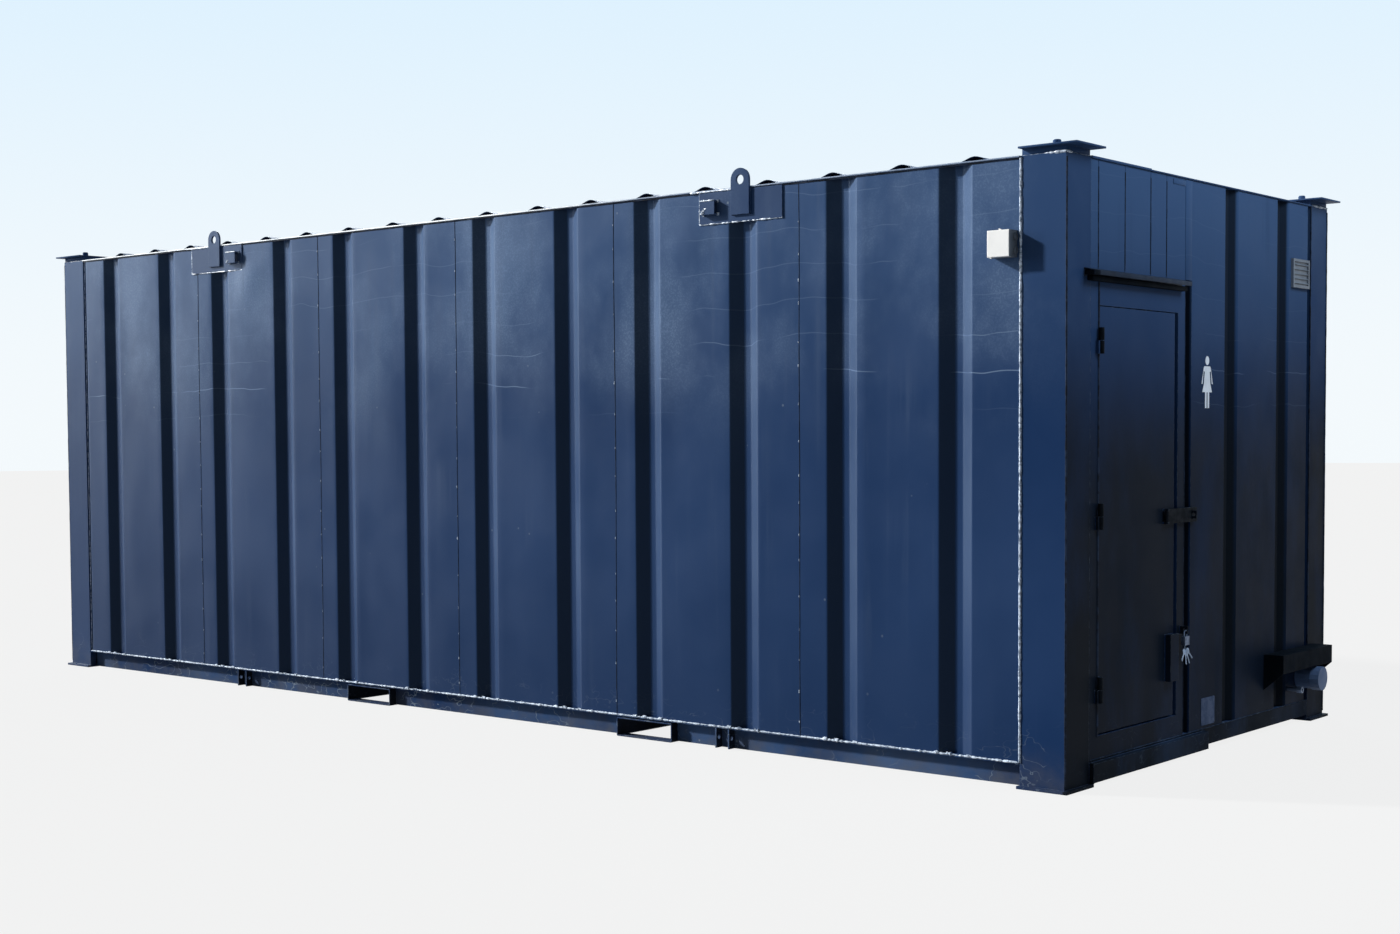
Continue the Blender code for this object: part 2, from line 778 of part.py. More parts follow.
# Rear end wall: pressed sheet between the rear posts
rear_line = [(BETWEEN_POSTS, 0)]
for index in (-1.5, -0.5, 0.5, 1.5):
    rear_line += groove(WIDTH / 2 + index * REAR_GROOVE_PITCH, GROOVE_WIDTH)
rear_line += [(WIDTH - BETWEEN_POSTS, 0)]
rear_wall = bmesh.new()
add_sheet(rear_wall, [at(LENGTH - depth, a, WALL_BOTTOM) for a, depth in rear_line], wall_rise)
rear_wall = add_part("end_wall_rear", rear_wall, NAVY)
solidify(rear_wall, SHEET, -1)

# Entrance end wall, to the right of the door
front_start = FRAME_RIGHT + GAP
front_end = WIDTH - BETWEEN_POSTS
front_line = [(front_start, JAMB_RECESS_DEPTH), (front_start + JAMB_RECESS_WIDTH, JAMB_RECESS_DEPTH)]
front_line += [(front_start + JAMB_RECESS_WIDTH + JAMB_RECESS_DEPTH / 10, 0)]
front_line += groove(WIDTH - END_GROOVE_A_IN, END_GROOVE_WIDTH)
front_line += groove(WIDTH - END_GROOVE_B_IN, END_GROOVE_WIDTH)
front_line += [(front_end - FAR_RECESS_WIDTH, 0), (front_end - FAR_RECESS_WIDTH + 0.004, FAR_RECESS_DEPTH)]
front_line += [(front_end, FAR_RECESS_DEPTH)]
front_wall = bmesh.new()
add_sheet(front_wall, [at(depth, a, WALL_BOTTOM) for a, depth in front_line], wall_rise)
front_wall = add_part("end_wall_front", front_wall, NAVY)
solidify(front_wall, SHEET, -1)
duct_centre = at(0, VENT_ACROSS, VENT_UP)
out = Vector((1, 0, 0))
service_holes = (
    (duct_centre - 0.1 * out, duct_centre + 0.1 * out, DUCT_RADIUS + GAP),
    (at(0.1, SOIL_ACROSS, SOIL_UP), at(-0.1, SOIL_ACROSS, SOIL_UP), SOIL_RADIUS + GAP),
    (at(0.1, INLET_ACROSS, INLET_UP), at(-0.1, INLET_ACROSS, INLET_UP), INLET_RADIUS + GAP),
)
cut(front_wall, rods(*service_holes))

# Infill over the door: flat strips with pressed joint lines, above the door frame's head
infill_line = [(BETWEEN_POSTS, 0)]
for middle in INFILL_LINES:
    half = INFILL_LINE_WIDTH / 2
    infill_line += [(middle - half, 0), (middle, INFILL_LINE_DEPTH), (middle + half, 0)]
infill_line += [(FRAME_RIGHT, 0)]
infill = bmesh.new()
infill_rise = Vector((0, 0, WALL_TOP - FRAME_TOP - GAP))
add_sheet(infill, [at(depth, a, FRAME_TOP + GAP) for a, depth in infill_line], infill_rise)
infill = add_part("door_head_infill", infill, NAVY)
solidify(infill, SHEET, -1)

# Eaves rails: an angle along the top of each wall, between the posts
eaves_profile = [
    (-EAVES_OUT, POST_TOP - EAVES_THICK),
    (-EAVES_OUT, POST_TOP),
    (EAVES_WIDTH, POST_TOP),
    (EAVES_WIDTH, POST_TOP - EAVES_THICK),
    (EAVES_LEG_SET + EAVES_LEG_THICK, POST_TOP - EAVES_THICK),
    (EAVES_LEG_SET + EAVES_LEG_THICK, POST_TOP - EAVES_LEG),
    (EAVES_LEG_SET, POST_TOP - EAVES_LEG),
    (EAVES_LEG_SET, POST_TOP - EAVES_THICK),
]
for name, far in (("top_rail_left", False), ("top_rail_right", True)):
    rail = bmesh.new()
    line = [at(BETWEEN_POSTS, WIDTH - a if far else a, up) for a, up in eaves_profile]
    add_prism(rail, line, Vector((-(LENGTH - 2 * BETWEEN_POSTS), 0, 0)))
    add_part(name, rail, NAVY)
for name, rear in (("top_rail_front", False), ("top_rail_rear", True)):
    rail = bmesh.new()
    line = [at(LENGTH - a if rear else a, BETWEEN_POSTS, up) for a, up in eaves_profile]
    add_prism(rail, line, Vector((0, WIDTH - 2 * BETWEEN_POSTS, 0)))
    add_part(name, rail, NAVY)

# Roof: one ribbed sheet on the eaves rails, notched round the collars
roof_under = POST_TOP + GAP + SHEET
roof_line = [(ROOF_INSET, 0)]
rib_count = int((LENGTH - 2 * RIB_FIRST) / RIB_PITCH) + 1
for index in range(rib_count):
    centre = RIB_FIRST + index * RIB_PITCH
    roof_line += [(centre - RIB_BASE / 2, 0), (centre - RIB_TOP / 2, RIB_HEIGHT)]
    roof_line += [(centre + RIB_TOP / 2, RIB_HEIGHT), (centre + RIB_BASE / 2, 0)]
roof_line += [(LENGTH - ROOF_INSET, 0)]
roof = bmesh.new()
roof_run = Vector((0, WIDTH - 2 * ROOF_INSET, 0))
add_sheet(roof, [at(a, ROOF_INSET, roof_under + rise) for a, rise in roof_line], roof_run)
roof = add_part("roof_sheet", roof, NAVY)
solidify(roof, SHEET, -1)
notches = bmesh.new()
for number in (1, 2, 3, 4):
    reach = (-0.02, POST_FACE - COLLAR_INSET + GAP)
    corner_box(notches, corner(number), reach, reach, (POST_TOP - 0.01, POST_TOP + 0.05))
cut(roof, notches)

# Lifting eyes: a pierced plate and a tie bracket on a doubling pad, two on each long side
for number in (1, 2, 3, 4):
    far = number > 2
    centre = EYE_FRONT_IN if number % 2 else LENGTH - EYE_REAR_IN
    lean = 1 if number % 2 else -1

    def out_from(*depths):
        return tuple(WIDTH + depth if far else -depth for depth in depths)

    pad_centre = centre + lean * PAD_SHIFT
    pad_sides = (pad_centre - PAD_WIDTH / 2, pad_centre + PAD_WIDTH / 2)
    pad = boxes((pad_sides, out_from(GAP, PAD_THICK), (PAD_BOTTOM, PAD_TOP)))
    eye = add_part(f"lifting_eye_{number}", pad, NAVY)
    tongue = bmesh.new()
    radius = EYE_WIDTH / 2
    arc = [math.pi * step / 12 for step in range(13)]
    middle = EYE_TOP - radius
    outline = [(centre + radius * math.cos(a), middle + radius * math.sin(a)) for a in arc]
    outline += [(centre - radius, EYE_BOTTOM), (centre + radius, EYE_BOTTOM)]
    start, end = out_from(PAD_THICK - GAP, PAD_THICK + EYE_THICK)
    add_prism(tongue, [at(a, start, up) for a, up in outline], Vector((0, end - start, 0)))
    join(eye, tongue)
    above = (centre - radius - 0.01, centre + radius + 0.01)
    cut(eye, boxes((above, out_from(-0.01, EAVES_OUT + GAP), (PAD_TOP, EYE_TOP))))
    cut(eye, rods((at(centre, out_from(-0.01)[0], middle), at(centre, out_from(0.05)[0], middle), EYE_HOLE)))
    tie = centre + lean * TIE_OFFSET
    half = TIE_WIDTH / 2
    tie_up = (TIE_UP - TIE_HEIGHT / 2, TIE_UP + TIE_HEIGHT / 2)
    join(eye, boxes(((tie - half, tie + half), out_from(PAD_THICK / 2, PAD_THICK + TIE_REACH), tie_up)))
    tie_room = (TIE_UP - TIE_HEIGHT / 2 + TIE_WALL, TIE_UP + TIE_HEIGHT / 2 - TIE_WALL)
    tie_in = out_from(PAD_THICK + GAP, PAD_THICK + TIE_REACH - TIE_WALL)
    cut(eye, boxes(((tie - half - 0.01, tie + half + 0.01), tie_in, tie_room)))

# Door frame: jambs, head and threshold with a stop, the fixed hinge halves and two staples
frame_left = BETWEEN_POSTS
opening = (DOOR_LEFT - DOOR_GAP, DOOR_RIGHT + DOOR_LOCK_GAP)
frame_up = (WALL_BOTTOM, FRAME_TOP)
frame_run = (0, FRAME_DEPTH + STOP_THICK)
frame = add_part("door_frame", boxes((frame_run, (frame_left, FRAME_RIGHT), frame_up)), NAVY)
cut(frame, boxes(((-0.02, FRAME_DEPTH), opening, (THRESHOLD_TOP, DOOR_TOP + DOOR_END_GAP))))
stop_opening = (DOOR_LEFT + STOP_WIDTH, DOOR_RIGHT - STOP_WIDTH)
cut(frame, boxes(((-0.02, 0.1), stop_opening, (THRESHOLD_TOP + STOP_WIDTH, DOOR_TOP - STOP_WIDTH))))
hinge_axis = [at(-HINGE_OUT, HINGE_ACROSS, up) for up in HINGE_HEIGHTS]
up_one = Vector((0, 0, 1))
fixed_barrels = [(p - HINGE_HALF * up_one, p - GAP / 2 * up_one, HINGE_RADIUS) for p in hinge_axis]
pins = [(p - HINGE_HALF / 2 * up_one, p + (HINGE_HALF - GAP) * up_one, HINGE_PIN) for p in hinge_axis]
fixed_leaves = [
    (
        (-HINGE_OUT, RAIL_WEB_THICK / 2),
        (HINGE_ACROSS - HINGE_LEAF, HINGE_ACROSS),
        (p.z - HINGE_HALF + GAP, p.z - GAP),
    )
    for p in hinge_axis
]
join(frame, boxes(*fixed_leaves))
join(frame, rods(*fixed_barrels))
join(frame, rods(*pins))
staple_up = (HASP_UP - STAPLE_HEIGHT / 2, HASP_UP + STAPLE_HEIGHT / 2)
staple_sides = (STAPLE_AT - STAPLE_THICK / 2, STAPLE_AT + STAPLE_THICK / 2)
join(
    frame,
    boxes(
        (
            (-STAPLE_BASE, -GAP),
            (FRAME_RIGHT - 0.040, STAPLE_BASE_END),
            (HASP_UP - HASP_HEIGHT / 2, HASP_UP + HASP_HEIGHT / 2),
        ),
    ),
)
join(frame, boxes(((-STAPLE_BASE, 0.003), (FRAME_RIGHT - 0.040, FRAME_RIGHT - 0.010), staple_up)))
join(frame, boxes(((-STAPLE_REACH, -STAPLE_BASE / 2), staple_sides, staple_up)))
padlock_sides = (PADLOCK_AT - STAPLE_THICK / 2, PADLOCK_AT + STAPLE_THICK / 2)
padlock_up = (PADLOCK_UP - STAPLE_HEIGHT / 2, PADLOCK_UP + STAPLE_HEIGHT / 2)
join(frame, boxes(((-STAPLE_REACH, 0.003), padlock_sides, padlock_up)))
eye_out = STAPLE_REACH - STAPLE_HOLE / 2 - STAPLE_BASE
eye_holes = []
for across, up in ((STAPLE_AT, HASP_UP), (PADLOCK_AT, PADLOCK_UP)):
    ends = [at(-eye_out, a, up) for a in (across - 0.02, across + 0.02)]
    eye_holes.append((ends[0], ends[1], STAPLE_HOLE / 2))
cut(frame, rods(*eye_holes))

# Drip canopy over the door
canopy = bmesh.new()
lip_top = CANOPY_TOP - CANOPY_FALL
profile = [
    (-GAP, CANOPY_TOP),
    (-CANOPY_REACH, lip_top),
    (-CANOPY_REACH, lip_top - CANOPY_LIP),
    (-CANOPY_REACH + CANOPY_SHEET, lip_top - CANOPY_LIP),
    (-CANOPY_REACH + CANOPY_SHEET, lip_top - CANOPY_SHEET),
    (-GAP - CANOPY_SHEET, CANOPY_TOP - CANOPY_SHEET - 0.001),
    (-GAP - CANOPY_SHEET, FRAME_TOP + GAP),
    (-GAP, FRAME_TOP + GAP),
]
canopy_run = Vector((0, CANOPY_END - CANOPY_START, 0))
add_prism(canopy, [at(a, CANOPY_START, up) for a, up in profile], canopy_run)
add_part("door_canopy", canopy, NAVY)

# Entrance door: a folded steel tray with a board core, hung on three lift-off hinges
door_origin = at(-HINGE_OUT, HINGE_ACROSS, DOOR_BOTTOM)
door_sides = (DOOR_LEFT, DOOR_RIGHT)
door_up = (DOOR_BOTTOM, DOOR_TOP)
skin_run = (DOOR_SET, DOOR_SET + DOOR_THICK)
skin = add_part("door_skin", boxes((skin_run, door_sides, door_up)), NAVY, door_origin)
core_sides = (DOOR_LEFT + DOOR_SKIN, DOOR_RIGHT - DOOR_SKIN)
core_up = (DOOR_BOTTOM + DOOR_SKIN, DOOR_TOP - DOOR_SKIN)
cut(skin, boxes(((DOOR_SET + DOOR_SKIN, 0.1), core_sides, core_up)))
moving_leaves = []
leaf_roots = []
for p in hinge_axis:
    leaf_up = (p.z + GAP, p.z + HINGE_HALF - GAP)
    leaf_end = HINGE_ACROSS + HINGE_LEAF
    moving_leaves.append(((-HINGE_OUT, -HINGE_LIFT), (HINGE_ACROSS + GAP, leaf_end), leaf_up))
    root_up = (leaf_up[0] + GAP, leaf_up[1] - GAP)
    root_sides = (DOOR_LEFT + DOOR_SKIN, leaf_end - GAP)
    leaf_roots.append(((-HINGE_LIFT * 2, DOOR_SET + DOOR_SKIN / 2), root_sides, root_up))
join(skin, boxes(*moving_leaves))
join(skin, boxes(*leaf_roots))
join(skin, rods(*[(p + GAP / 2 * up_one, p + HINGE_HALF * up_one, HINGE_RADIUS) for p in hinge_axis]))
bores = [(p - 0.01 * up_one, p + (HINGE_HALF + 0.01) * up_one, HINGE_PIN + RUNNING) for p in hinge_axis]
cut(skin, rods(*bores))
lock_up = (LOCK_BOX_UP - LOCK_BOX_HEIGHT / 2, LOCK_BOX_UP + LOCK_BOX_HEIGHT / 2)
lock_sides = (DOOR_RIGHT - LOCK_BOX_WIDTH - 0.004, DOOR_RIGHT - 0.004)
join(skin, boxes(((-LOCK_BOX_REACH, DOOR_SET + DOOR_SKIN / 2), lock_sides, lock_up)))
ear_from = HASP_BARREL / 2 + GAP
ears = []
for sign in (-1, 1):
    ear_up = sorted(HASP_UP + sign * h for h in (ear_from, ear_from + HASP_EAR))
    ear_sides = (HASP_PIVOT - HASP_RADIUS, HASP_PIVOT + HASP_RADIUS)
    ears.append(((-HASP_OUT - HASP_RADIUS, DOOR_SET + DOOR_SKIN / 2), ear_sides, ear_up))
join(skin, boxes(*ears))
hasp_axis = at(-HASP_OUT, HASP_PIVOT, HASP_UP)
pin_half = HASP_BARREL / 2 + HASP_EAR / 2
join(skin, rods((hasp_axis - pin_half * up_one, hasp_axis + pin_half * up_one, HASP_PIN)))

core_run = (DOOR_SET + DOOR_SKIN + GAP, DOOR_SET + DOOR_THICK)
core_box = (
    core_run,
    (core_sides[0] + GAP, core_sides[1] - GAP),
    (core_up[0] + GAP, core_up[1] - GAP),
)
add_part("door_inner_panel", boxes(core_box), BOARD, door_origin)

# Hasp: a slotted strap that turns on its pin on the door and drops over the upper staple
strap_run = (-HASP_OUT - HASP_THICK / 2, -HASP_OUT + HASP_THICK / 2)
strap_up = (HASP_UP - HASP_HEIGHT / 2, HASP_UP + HASP_HEIGHT / 2)
strap_from = HASP_PIVOT + HASP_RADIUS * math.sqrt(2) + SLOT_CLEAR
hasp = add_part("hasp_strap", boxes((strap_run, (strap_from, HASP_END), strap_up)), BLACK_STEEL, hasp_axis)
barrel_half = HASP_BARREL / 2 * up_one
neck_up = (HASP_UP - HASP_BARREL / 2, HASP_UP + HASP_BARREL / 2)
join(hasp, boxes((strap_run, (HASP_PIVOT, strap_from + 0.004), neck_up)))
join(hasp, rods((hasp_axis - barrel_half, hasp_axis + barrel_half, HASP_RADIUS)))
cut(hasp, rods((hasp_axis - 2 * barrel_half, hasp_axis + 2 * barrel_half, HASP_PIN + RUNNING)))
slot_sides = (staple_sides[0] - SLOT_CLEAR, staple_sides[1] + SLOT_CLEAR)
slot_up = (staple_up[0] - SLOT_CLEAR, staple_up[1] + SLOT_CLEAR)
cut(hasp, boxes(((-0.1, 0.1), slot_sides, slot_up)))

# Padlock: hangs by its shackle in the lower staple
rod_up = PADLOCK_UP - STAPLE_HOLE / 2 + SHACKLE_ROD + GAP
padlock_axis = at(-eye_out, PADLOCK_AT, rod_up)
body_top = rod_up - SHACKLE_DROP
body_sides = (PADLOCK_AT - PADLOCK_WIDTH / 2, PADLOCK_AT + PADLOCK_WIDTH / 2)
body_run = (-eye_out - PADLOCK_THICK / 2, -eye_out + PADLOCK_THICK / 2)
body = boxes((body_run, body_sides, (body_top - PADLOCK_HEIGHT, body_top)))
padlock = add_part("padlock", body, BARE_STEEL, padlock_axis)
bend = SHACKLE_SPAN / 4
left, right = PADLOCK_AT - SHACKLE_SPAN / 2, PADLOCK_AT + SHACKLE_SPAN / 2
route = [(left, body_top - 0.006), (left, rod_up - bend), (left + bend * 0.3, rod_up - bend * 0.3)]
route += [(left + bend, rod_up), (right - bend, rod_up)]
route += [(right - bend * 0.3, rod_up - bend * 0.3), (right, rod_up - bend), (right, body_top - 0.006)]
curve = bpy.data.curves.new("shackle", "CURVE")
curve.dimensions = "3D"
curve.bevel_depth = SHACKLE_ROD
curve.bevel_resolution = 1
curve.use_fill_caps = True
spline = curve.splines.new("POLY")
spline.points.add(len(route) - 1)
for point, (across, up) in zip(spline.points, route):
    point.co = (*at(-eye_out, across, up), 1.0)
shackle = bmesh.new()
shackle.from_mesh(curve_mesh(curve))
bmesh.ops.remove_doubles(shackle, verts=shackle.verts, dist=1e-6)
join(padlock, shackle)

# Ventilator: a louvred plate with its duct and fan carrier, through the entrance end wall
vent_run = (-VENT_REACH, -GAP)
vent_sides = (VENT_ACROSS - VENT_WIDTH / 2, VENT_ACROSS + VENT_WIDTH / 2)
vent_up = (VENT_UP - VENT_HEIGHT / 2, VENT_UP + VENT_HEIGHT / 2)
vent = add_part("vent_louvre", boxes((vent_run, vent_sides, vent_up)), NAVY)
join(vent, rods((duct_centre - DUCT_DEPTH * out, duct_centre + GAP * out + 0.002 * out, DUCT_RADIUS)))
recess_sides = (vent_sides[0] + VENT_RIM, vent_sides[1] - VENT_RIM)
recess_up = (vent_up[0] + VENT_RIM, vent_up[1] - VENT_RIM)
cut(vent, boxes(((-0.05, -VENT_BACK), recess_sides, recess_up)))
bore_radius = DUCT_RADIUS - DUCT_WALL
cut(vent, rods((duct_centre - 0.2 * out, duct_centre + 0.1 * out, bore_radius)))
slats = bmesh.new()
slat_pitch = (recess_up[1] - recess_up[0]) / VENT_SLATS
slat_depth = VENT_REACH - VENT_BACK - 0.002
for index in range(VENT_SLATS):
    low = recess_up[0] + slat_pitch * (index + 0.3)
    rise = slat_pitch * 0.4
    profile = [
        (-VENT_REACH + 0.001, low),
        (-VENT_REACH + 0.001 + slat_depth, low + rise),
        (-VENT_REACH + 0.001 + slat_depth, low + rise + VENT_SLAT_THICK),
        (-VENT_REACH + 0.001, low + VENT_SLAT_THICK),
    ]
    slat_from = recess_sides[0] - VENT_RIM / 4
    slat_run = Vector((0, recess_sides[1] - recess_sides[0] + VENT_RIM / 2, 0))
    add_prism(slats, [at(a, slat_from, up) for a, up in profile], slat_run)
join(vent, slats)
carrier_at = DUCT_DEPTH - 0.012
carrier = bmesh.new()
carrier_reach = bore_radius + DUCT_WALL / 2
carrier_run = (carrier_at - 0.004, carrier_at + 0.004)
carrier_sides = (VENT_ACROSS - carrier_reach, VENT_ACROSS + carrier_reach)
add_box(carrier, carrier_run, carrier_sides, (VENT_UP - 0.004, VENT_UP + 0.004))
join(vent, carrier)
hub_front = carrier_at - 0.008
join(vent, rods((duct_centre - (carrier_at + 0.006) * out, duct_centre - hub_front * out, FAN_HUB)))
fan_back = hub_front - 0.001
fan_front = fan_back - FAN_DEPTH
join(vent, rods((duct_centre - carrier_at * out, duct_centre - (fan_front + 0.004) * out, FAN_PIN)))

# Fan impeller: a hub with pitched blades, turning on the carrier's pin
fan_centre = duct_centre - (fan_back + fan_front) / 2 * out
fan = rods((duct_centre - (fan_back - GAP) * out, duct_centre - fan_front * out, FAN_HUB))
fan = add_part("fan_impeller", fan, GREY_PLASTIC, fan_centre)
blades = bmesh.new()
blade_length = FAN_RADIUS - FAN_HUB / 2
for index in range(FAN_BLADES):
    turn = Matrix.Rotation(2 * math.pi * index / FAN_BLADES, 4, "X")
    pitch = Matrix.Rotation(math.radians(35), 4, "Z")
    size = Matrix.Diagonal((0.002, 0.022, blade_length, 1.0))
    shift = Matrix.Translation((0, 0, FAN_HUB / 2 + blade_length / 2))
    place = Matrix.Translation(fan_centre) @ turn @ shift @ pitch @ size
    bmesh.ops.create_cube(blades, size=1.0, matrix=place)
join(fan, blades)
cut(fan, rods((duct_centre - 0.2 * out, duct_centre - (fan_front + 0.003) * out, FAN_PIN + RUNNING)))

# Services hood: a folded cover with sloping cheeks, open below
hood = bmesh.new()
profile = [
    (-GAP, HOOD_TOP),
    (-HOOD_REACH, HOOD_TOP),
    (-HOOD_REACH, HOOD_FRONT_FOOT),
    (-GAP, HOOD_BACK_FOOT),
]
add_prism(hood, [at(a, HOOD_START, up) for a, up in profile], Vector((0, HOOD_END - HOOD_START, 0)))
hood = add_part("services_hood", hood, NAVY)
inside_run = (-HOOD_REACH + HOOD_SHEET, 0.02)
inside = (inside_run, (HOOD_START + HOOD_SHEET, HOOD_END - HOOD_SHEET), (0.0, HOOD_TOP - HOOD_SHEET))
cut(hood, boxes(inside))

# Soil pipe: runs along behind the service duct, takes both pans and ends outside under the hood
soil_far = LENGTH - ROOM_IN - 2 * PANEL
cubicle_ends = [LENGTH - ROOM_IN - i * CUBICLE_WIDTH for i in range(3)]
pan_centres = [end - CUBICLE_WIDTH / 2 for end in cubicle_ends[:2]]
soil = rods((at(soil_far, SOIL_ACROSS, SOIL_UP), at(-SOIL_REACH + GAP, SOIL_ACROSS, SOIL_UP), SOIL_RADIUS))
soil = add_part("soil_pipe", soil, GREY_PLASTIC)
branches = [(at(a, DUCT_FACE + GAP, SOIL_UP), at(a, SOIL_ACROSS, SOIL_UP)) for a in pan_centres]
join(soil, rods(*[(*ends, BRANCH_RADIUS) for ends in branches]))
soil_bore = (at(soil_far - 0.02, SOIL_ACROSS, SOIL_UP), at(-SOIL_REACH - 0.02, SOIL_ACROSS, SOIL_UP))
cut(soil, rods((*soil_bore, SOIL_RADIUS - SOIL_WALL)))
branch_bores = [(at(a, DUCT_FACE - 0.02, SOIL_UP), at(a, SOIL_ACROSS, SOIL_UP)) for a in pan_centres]
cut(soil, rods(*[(*ends, BRANCH_RADIUS - SOIL_WALL) for ends in branch_bores]))

# Soil pipe cap: pulls off the end of the pipe
cap_origin = at(-SOIL_REACH, SOIL_ACROSS, SOIL_UP)
cap_face = at(-SOIL_REACH - CAP_FACE, SOIL_ACROSS, SOIL_UP)
cap = rods((cap_face - CAP_DEPTH * out, cap_face, CAP_RADIUS))
cap = add_part("soil_pipe_cap", cap, GREY_PLASTIC, cap_origin)
cut(cap, rods((cap_face - 2 * CAP_DEPTH * out, cap_origin, SOIL_RADIUS + RUNNING)))

# Water inlet: a pipe through the end wall with a hose union
inlet_start = at(INLET_BACK, INLET_ACROSS, INLET_UP)
inlet_end = at(-INLET_REACH, INLET_ACROSS, INLET_UP)
inlet = add_part("water_inlet", rods((inlet_start, inlet_end, INLET_RADIUS)), BARE_STEEL)
union = bmesh.new()
add_rod(union, inlet_end - 0.002 * out, inlet_end + 0.024 * out, INLET_UNION, 6)
join(inlet, union)
cut(inlet, rods((inlet_start + 0.02 * out, inlet_end + 0.1 * out, INLET_RADIUS * 0.7)))

# Junction box for the supply cable, on the near side wall, with its lid
box_along = (BOX_FIRST, BOX_FIRST + BOX_WIDTH)
box_up = (BOX_UP - BOX_HEIGHT / 2, BOX_UP + BOX_HEIGHT / 2)
lid_back = BOX_REACH - BOX_LID
box = add_part("junction_box", boxes((box_along, (-GAP, -lid_back + GAP), box_up)), WHITE_PLASTIC)
gland_middle = -(BOX_REACH - BOX_LID) / 2
glands = []
for up in (BOX_UP - BOX_HEIGHT / 4, BOX_UP + BOX_HEIGHT / 4):
    start = at(BOX_FIRST + BOX_WALL / 2, gland_middle, up)
    glands.append((start, start + (BOX_WALL / 2 + BOX_GLAND_OUT) * out, BOX_GLAND))
join(box, rods(*glands))
tray_along = (box_along[0] + BOX_WALL, box_along[1] - BOX_WALL)
tray_up = (box_up[0] + BOX_WALL, box_up[1] - BOX_WALL)
cut(box, boxes((tray_along, (-GAP - BOX_WALL, -0.2), tray_up)))
lid = boxes((box_along, (-lid_back, -BOX_REACH), box_up))
lid_edges = [e for e in lid.edges if all(v.co.y < at(0, -lid_back - BOX_LID / 2, 0).y for v in e.verts)]
round_edges(lid, lid_edges, BOX_ROUND, 2)
add_part("junction_box_lid", lid, WHITE_PLASTIC)

# Floor deck on the base frame
room_run = (LINING_SET, LENGTH - LINING_SET)
room_sides = (LINING_SET, WIDTH - LINING_SET)
frame_back = FRAME_DEPTH + STOP_THICK + GAP
deck = add_part("floor_deck", boxes((room_run, room_sides, (FLOOR_BOTTOM, FLOOR_TOP))), VINYL)
frame_room = ((0, frame_back), (0, FRAME_RIGHT + GAP), (0, 3))
cut(deck, boxes(frame_room))

# Wall lining: one skin of boards round the room, open at the doorway and at the services
lining_up = (FLOOR_TOP + GAP, CEILING_UP)
lining = add_part("wall_lining", boxes((room_run, room_sides, lining_up)), BOARD)
inner_run = (LINING_SET + LINING, LENGTH - LINING_SET - LINING)
inner_sides = (LINING_SET + LINING, WIDTH - LINING_SET - LINING)
cut(lining, boxes((inner_run, inner_sides, (0, 3))))
doorway_sides = (stop_opening[0] - DOORWAY_MARGIN, stop_opening[1] + DOORWAY_MARGIN)
doorway = ((0, 0.1), doorway_sides, (0, DOOR_TOP - STOP_WIDTH + DOORWAY_MARGIN))
cut(lining, boxes(doorway))
cut(lining, boxes(((0, frame_back), (0, FRAME_RIGHT + GAP), (0, FRAME_TOP + GAP))))
cut(lining, rods(*service_holes))

ceiling_up = (CEILING_UP + GAP, CEILING_UP + GAP + CEILING_THICK)
add_part("ceiling_lining", boxes((room_run, room_sides, ceiling_up)), BOARD)

# Cubicle partitions: service duct, dividers, pilasters, head rail and feet, of solid laminate
duct_end = LENGTH - ROOM_IN
duct_back = WIDTH - ROOM_IN
duct_up = (FLOOR_TOP + GAP, DUCT_TOP)
front_sides = (FRONT_ACROSS, FRONT_ACROSS + PANEL)
panel_up = (PANEL_FOOT, PANEL_TOP)
duct_panel = boxes(((DUCT_START, duct_end), (DUCT_FACE + GAP, DUCT_FACE + DUCT_PANEL), duct_up))
partition = add_part("cubicle_partitions", duct_panel, LAMINATE)
shelf_up = (DUCT_TOP - DUCT_PANEL, DUCT_TOP)
shelf_sides = (DUCT_FACE + DUCT_PANEL / 2, duct_back)
join(partition, boxes(((DUCT_START, duct_end), shelf_sides, shelf_up)))
end_up = (FLOOR_TOP + GAP, DUCT_TOP - DUCT_PANEL / 2)
join(partition, boxes(((DUCT_START, DUCT_START + DUCT_PANEL), shelf_sides, end_up)))
dividers = []
for end in cubicle_ends[1:]:
    dividers.append(((end - PANEL, end), (FRONT_ACROSS + PANEL / 2, DUCT_FACE + DUCT_PANEL / 2), panel_up))
join(partition, boxes(*dividers))
front = (cubicle_ends[2] - PANEL, duct_end)
join(partition, boxes((front, front_sides, panel_up)))
door_rooms = []
door_starts = []
for end in cubicle_ends[:2]:
    door_end = end - CUBICLE_WIDTH + DOOR_PANEL_FROM + DOOR_PANEL_WIDTH
    door_starts.append(door_end - DOOR_PANEL_WIDTH)
    sides = (door_end - DOOR_PANEL_WIDTH - SWING, door_end + SWING)
    room_up = (PANEL_FOOT + SILL_HEIGHT, PANEL_TOP - HEAD_RAIL)
    door_rooms.append((sides, (FRONT_ACROSS - 0.1, FRONT_ACROSS + 0.1), room_up))
cut(partition, boxes(*door_rooms))
feet = []
foot_sides = (FRONT_ACROSS + GAP, FRONT_ACROSS + PANEL - GAP)
foot_up = (FLOOR_TOP + GAP, PANEL_FOOT + 0.02)
for along in (front[0] + FOOT_SIDE, cubicle_ends[1] - PANEL, front[1] - FOOT_SIDE):
    feet.append(((along - FOOT_SIDE / 2, along + FOOT_SIDE / 2), foot_sides, foot_up))
join(partition, boxes(*feet))
branch_holes = [(at(a, DUCT_FACE - 0.1, SOIL_UP), at(a, SOIL_ACROSS, SOIL_UP)) for a in pan_centres]
cut(partition, rods(*[(*ends, BRANCH_RADIUS + GAP) for ends in branch_holes]))
